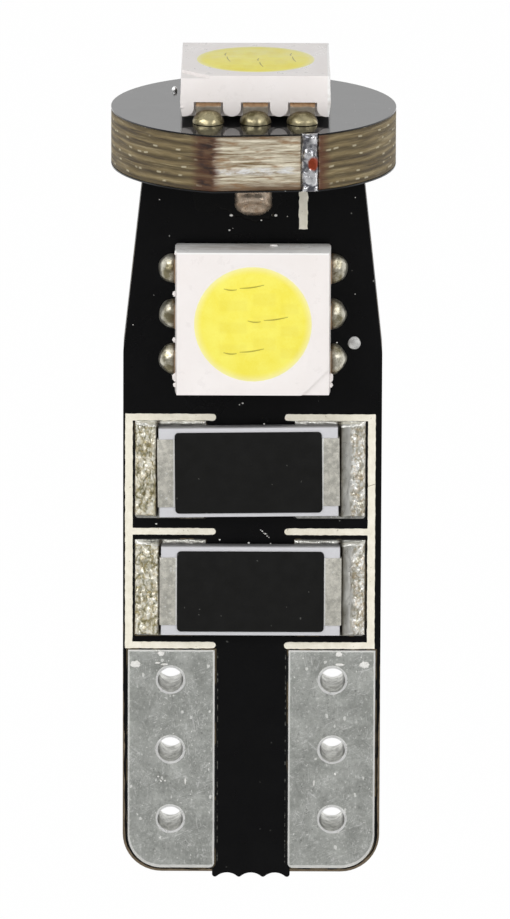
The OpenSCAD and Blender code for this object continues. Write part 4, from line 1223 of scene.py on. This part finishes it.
def resistor(side, row, finishes, seed):
    """One chip resistor: ceramic body, overcoat, terminals and the solder at its ends."""
    name = f"{side}_{row}_resistor"
    low, high = mm_box(f"{name}_terminals")
    solder_low, solder_high = mm_box(f"{name}_solder")
    turn = -1 if side == "back" else 1
    middle = turn * (low.x + high.x) / 2
    centre = stand_on_front(middle, (low.z + high.z) / 2)
    if side == "back":
        centre = to_back(centre)
    for part, piece, slot, width in (("ceramic", "body", "alumina", 0.03), ("overcoat", "glaze", "black_glaze", 0.02),
                                     ("terminals", "end_caps", "tinned_copper", 0.035)):
        softened(f"{name}_{part}", f"{name}_{piece}", [finishes[part]], width, centre, 3)
    ends = {"left": (-1, (high.x - low.x) / 2 - middle), "right": (1, (high.x - low.x) / 2 + middle)}
    for end, (sign, reach) in ends.items():
        outer = abs(solder_low.x if sign * turn < 0 else solder_high.x)
        inner = reach - 0.03
        shapes = [chip_fillet(outer - inner, SMOOTH[end], seed + sign),
                  land_bead(LAND_IN + sign * PRINT_X - inner, outer - inner, seed + 2 * sign)]
        points, faces = joined(shapes)
        place = stand_on_front(sign * inner, (solder_low.z + solder_high.z) / 2)
        if sign < 0:
            points, faces = mirrored((points, faces))
        if side == "back":
            place = to_back(place)
        mesh = mesh_of(f"{name}_{end}_fillet", points, faces, place)
        stands = [f"{name}_solder"] if end == "left" else []
        seat(f"{name}_{end}_fillet", mesh, [finishes[f"{end}_fillet"]], stands, place)


# Joint of the boards

def board_joint(side, finishes, seed):
    """Solder that climbs from the blade to the disc, with a crease over its lower lobe."""
    low, high = mm_box(f"{side}_joint_solder")
    half, top = (high.x - low.x) / 2, high.z
    foot = low.z

    def height(x, z):
        up = z - foot
        round_foot = math.sqrt(max(0.0, 1 - max(0.0, 1 - up / 0.42) ** 2))
        width = half * (0.45 + 0.55 * round_foot) * round_foot ** 0.4
        across = math.sqrt(max(0.0, 1 - (abs(x) / max(width, 0.001)) ** 2.6))
        sag = up + 0.3 * (x / half) ** 2
        body = 0.3 + 0.24 * min(1.0, up / 1.2) + 0.05 * math.sin(2 * math.pi * sag / 0.55)
        return max(0.0, (body * round_foot + 0.04 * lump((x, z, 0), 3.6, seed)) * across)

    points, faces = relief((-half, half), (foot, top), height, 64, 96)
    place = stand_on_front(0, 0)
    if side == "back":
        place = to_back(place)
    mesh = mesh_of(f"{side}_joint_drop", points, faces, place)
    seat(f"{side}_joint_drop", mesh, [finishes["joint"]], [f"{side}_joint_solder"], place)
    shapes = []
    for x, z, reach, tall, high_y in FLUX_POOLS:
        points, faces = dome((0, 0, 0), reach, reach, tall, high_y, seed + 9 + 5 * x, 0.2, 16, 72)
        lift = Matrix.Translation((x, top + z, -(LAND_Y - MASK_Y)))
        shapes.append(([lift @ Vector(point) for point in points], faces))
    points, faces = joined(shapes)
    seat(f"{side}_flux", mesh_of(f"{side}_flux", points, faces, place), [finishes["flux"]], (), place)


# Dust and splashes

# Pools of flux as (x, z under the disc, half width, half height, thickness)
FLUX_POOLS = ((-0.1, -0.75, 1.12, 1.08, 0.06), (-1.55, -0.95, 0.5, 0.62, 0.02))

# Splashes on the mask as (x, z, reach), the first two being pale grains set as painted highlights on the flux pool's
# rim, and on the pads as (x, z, half width, half height)
FRONT_SPLASHES_AND_GLINTS = [(-0.748, 23.328, 0.06), (0.772, 23.328, 0.055), (0.277, 23.153, 0.03), (1.165, 23.293, 0.022),
                  (-0.817, 22.802, 0.035), (-0.34, 16.706, 0.04), (-0.45, 16.65, 0.022), (-3.298, 12.417, 0.03),
                  (2.881, 18.86, 0.03), (3.494, 20.569, 0.02), (-4.106, 19.46, 0.02), (0.4, 15.975, 0.03),
                  (-0.117, 11.75, 0.045), (0.64, 11.73, 0.022), (-1.115, 11.86, 0.035), (0.3, 12.21, 0.018),
                  (0.35, 12.17, 0.026), (0.4, 12.1, 0.016), (0.45, 12.08, 0.03), (0.52, 12.0, 0.024), (0.5, 12.07, 0.016),
                  (0.58, 11.95, 0.02)]
PAD_SPLASHES = [(-4.0, 7.42, 0.16, 0.12), (-3.12, 7.8, 0.11, 0.09), (-3.25, 7.47, 0.09, 0.035),
                (-3.02, 7.42, 0.12, 0.04), (-3.3, 7.92, 0.06, 0.03), (3.9, 7.42, 0.16, 0.12), (3.01, 7.8, 0.11, 0.09),
                (3.05, 7.43, 0.16, 0.045), (-3.21, 3.4, 0.035, 0.04), (-3.12, 3.24, 0.035, 0.03),
                (-2.98, 3.25, 0.025, 0.03), (-2.28, 3.23, 0.025, 0.12), (2.9, 3.51, 0.04, 0.04), (2.17, 3.19, 0.025, 0.12)]


def pebble(centre, reach, seed, flat=0.6):
    """A small uneven grain."""
    points, faces = dome((0, 0, 0), reach, reach, reach * 0.8, reach * flat, seed, 0.3, 5, 12)
    return [(centre[0] + x, centre[1] + y, centre[2] + z) for x, y, z in points], faces


def dust(finishes):
    """Splashed solder and dust on both faces of the blade and on the disc, with two pale grains as painted highlights
    on the flux.
    """
    rng = random.Random(11)
    for side, spots, count in (("front", FRONT_SPLASHES_AND_GLINTS, 16), ("back", [], 14)):
        loose = [(rng.uniform(-3.5, 3.5), rng.uniform(16.6, 24.0), rng.uniform(0.01, 0.018)) for _ in range(count)]
        shapes = [pebble((x, z, MASK_Y - LAND_Y), reach, number) for number, (x, z, reach) in enumerate(spots + loose)]
        for number, (x, z, wide, tall) in enumerate(PAD_SPLASHES if side == "front" else []):
            some, faces = dome((0, 0, 0), 6 * wide, 6 * wide, 6 * tall, 0.36, number, 0.4, 6, 36)
            shapes.append(([(x + a / 6, z + b / 6, c / 6) for a, b, c in some], faces))
        points, faces = joined(shapes)
        place = stand_on_front(0, 0)
        if side == "back":
            place = to_back(place)
        seat(f"{side}_specks", mesh_of(f"{side}_specks", points, faces, place), [finishes["dust"]], (), place)
    points, faces = dome((-2.72, 2.2, TOP_MASK_Z), 0.1, 0.1, 0.1, 0.18, 2, 0.1)
    seat("disc_solder_ball", mesh_of("disc_solder_ball", points, faces), [finishes["ball"]])


# Stage, light and camera

FLOOR_Z = -28.0
FLOOR_GLOW = 0.99
AMBIENT, AMBIENT_ABOVE = 0.63, 0.1
FRONT_GLOSS = 0.36
LAMPS = {"front_left": ((-330, -400, 310), 300, 1.3), "front_right": ((360, -380, 270), 300, 1.0),
         "back_left": ((-420, 330, 170), 260, 0.42), "back_right": ((420, 330, 170), 260, 0.42)}


def shown_rays(tree):
    """1 for rays from the camera."""
    return add(tree, "LightPath").outputs["Is Camera Ray"]


def mirror_rays(tree):
    """1 for rays that glossy and clear surfaces send on."""
    path = add(tree, "LightPath").outputs
    return calc(tree, "MAXIMUM", path["Is Glossy Ray"], path["Is Transmission Ray"])


def studio():
    """White surroundings, dimmer overhead, that metal mirrors brighter from behind than from the front."""
    world = bpy.data.worlds.new("studio")
    bpy.context.scene.world = world
    world.use_nodes = True
    tree = world.node_tree
    _, depth, up = parts_of(tree, add(tree, "TexCoord").outputs["Generated"])
    gloss = band(tree, depth, -0.35, 0.1, FRONT_GLOSS, 1.0)
    light = mix(tree, mirror_rays(tree), band(tree, up, 0.3, 0.9, AMBIENT, AMBIENT_ABOVE), gloss)
    light = mix(tree, shown_rays(tree), light, (1, 1, 1, 1))
    feed(tree, tree.nodes["Background"].inputs["Color"], light)


def floor():
    """Pale floor well below the bulb."""
    mesh = bpy.data.meshes.new("floor")
    far = 4.0
    mesh.from_pydata([(-far, -far, FLOOR_Z * MM), (far, -far, FLOOR_Z * MM), (far, far, FLOOR_Z * MM),
                      (-far, far, FLOOR_Z * MM)], [], [(0, 1, 2, 3)])
    made = bpy.data.objects.new("floor", mesh)
    bpy.context.scene.collection.objects.link(made)
    finish = bpy.data.materials.new("pale_floor")
    finish.use_nodes = True
    tree = finish.node_tree
    tree.nodes["Principled BSDF"].inputs["Base Color"].default_value = (0.95, 0.95, 0.95, 1)
    tree.nodes["Principled BSDF"].inputs["Roughness"].default_value = 0.9
    _, depth, _ = parts_of(tree, frame_mm(tree))
    gloss = band(tree, depth, -60.0, 10.0, FRONT_GLOSS, 1.0)
    glow = mix(tree, shown_rays(tree), gloss, (1, 1, 1, 1))
    share = calc(tree, "MULTIPLY", calc(tree, "MAXIMUM", shown_rays(tree), mirror_rays(tree)), FLOOR_GLOW)
    light = add(tree, "Emission", {"Color": glow})
    blend = add(tree, "MixShader", {0: share, 1: tree.nodes["Principled BSDF"].outputs[0], 2: light.outputs[0]})
    feed(tree, tree.nodes["Material Output"].inputs["Surface"], blend.outputs[0])
    mesh.materials.append(finish)


def lamps():
    """Large soft lamps at a plain level, two in front and two behind."""
    aim = Vector((0, 0, 14)) * MM
    for name, (place, size, power) in LAMPS.items():
        data = bpy.data.lights.new(name, "AREA")
        data.size = size * MM
        data.energy = power
        made = bpy.data.objects.new(name, data)
        made.location = Vector(place) * MM
        made.rotation_euler = (aim - made.location).to_track_quat("-Z", "Y").to_euler()
        bpy.context.scene.collection.objects.link(made)


CAMERA_AIM = (0.09, 0.0, 14.465)
CAMERA_DISTANCE = 433.0
CAMERA_TILT = math.radians(14.3)
CAMERA_ROLL = math.radians(0.22)
CAMERA_LENS = 492.7


def camera():
    """Long lens from a little above the front."""
    data = bpy.data.cameras.new("camera")
    data.lens = CAMERA_LENS
    data.clip_start = 0.01
    data.clip_end = 20
    made = bpy.data.objects.new("camera", data)
    bpy.context.scene.collection.objects.link(made)
    back = Vector((0, -math.cos(CAMERA_TILT), math.sin(CAMERA_TILT)))
    made.location = (Vector(CAMERA_AIM) + back * CAMERA_DISTANCE) * MM
    turn = (-back).to_track_quat("-Z", "Y").to_matrix() @ Matrix.Rotation(CAMERA_ROLL, 3, "Z")
    made.rotation_euler = turn.to_euler()
    bpy.context.scene.camera = made


FINISHES = {
    "blade_mask": blade_mask_finish(), "disc_mask": disc_mask_finish(),
    "blade_laminate": blade_laminate_finish(), "disc_laminate": disc_laminate_finish(),
    "tin": tin_finish(), "bright_tin": bright_tin_finish(), "legend": legend_finish(),
    "housing": housing_finish(), "phosphor": phosphor_finish(), "leads": lead_finish(),
    "beads": bead_finish("lead_solder", srgb(142, 134, 106), srgb(250, 246, 230)),
    # the top LED's beads take a darker copy of the bead solder
    "top_beads": bead_finish("darker_lead_solder", srgb(96, 88, 60), srgb(186, 176, 142)), "dies": die_finish(), "wires": gold_finish(),
    "left_fillet": solder_finish("tinted_solder", srgb(138, 134, 102), srgb(255, 252, 238), srgb(186, 166, 112), 0.4, 0.0),
    "right_fillet": solder_finish("bright_solder", srgb(176, 172, 154), srgb(255, 255, 250), srgb(168, 142, 100), 0.3, 0.42),
    "joint": joint_finish(), "flux": flux_finish(), "edge_solder": edge_solder_finish(),
    "via": speckled_metal_finish("via_solder", srgb(180, 180, 178), srgb(236, 236, 234), 5.0, 0.3, 0.5),
    "terminals": terminal_finish(),
    "lands": speckled_metal_finish("land_metal", srgb(150, 150, 144), srgb(214, 214, 208), 2.6, 0.8, 0.4),
    "ball": speckled_metal_finish("ball_solder", srgb(190, 190, 190), srgb(240, 240, 240), 4.0, 1.0, 0.18),
    "ceramic": alumina_finish(), "overcoat": overcoat_finish(), "dust": dust_finish()}

blade(FINISHES)
via_caps(FINISHES)
for number, side in enumerate(("front", "back")):
    legend(side, FINISHES, 60 + 10 * number)
    board_joint(side, FINISHES, 5 + number)
    for row_number, row in enumerate(("lower", "upper")):
        resistor(side, row, FINISHES, 7 + 11 * number + 4 * row_number)
disc_board(FINISHES)
edge_solder(FINISHES)
for number, side in enumerate(("front", "back", "top")):
    led(side, FINISHES, 21 + number)
for lands in ("front_lands", "back_lands", "top_lands", "joint_lands"):
    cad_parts[lands].data.materials.clear()
    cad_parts[lands].data.materials.append(FINISHES["lands"])
dust(FINISHES)

camera()
lamps()
studio()
floor()
bpy.context.scene.view_settings.view_transform = "Standard"
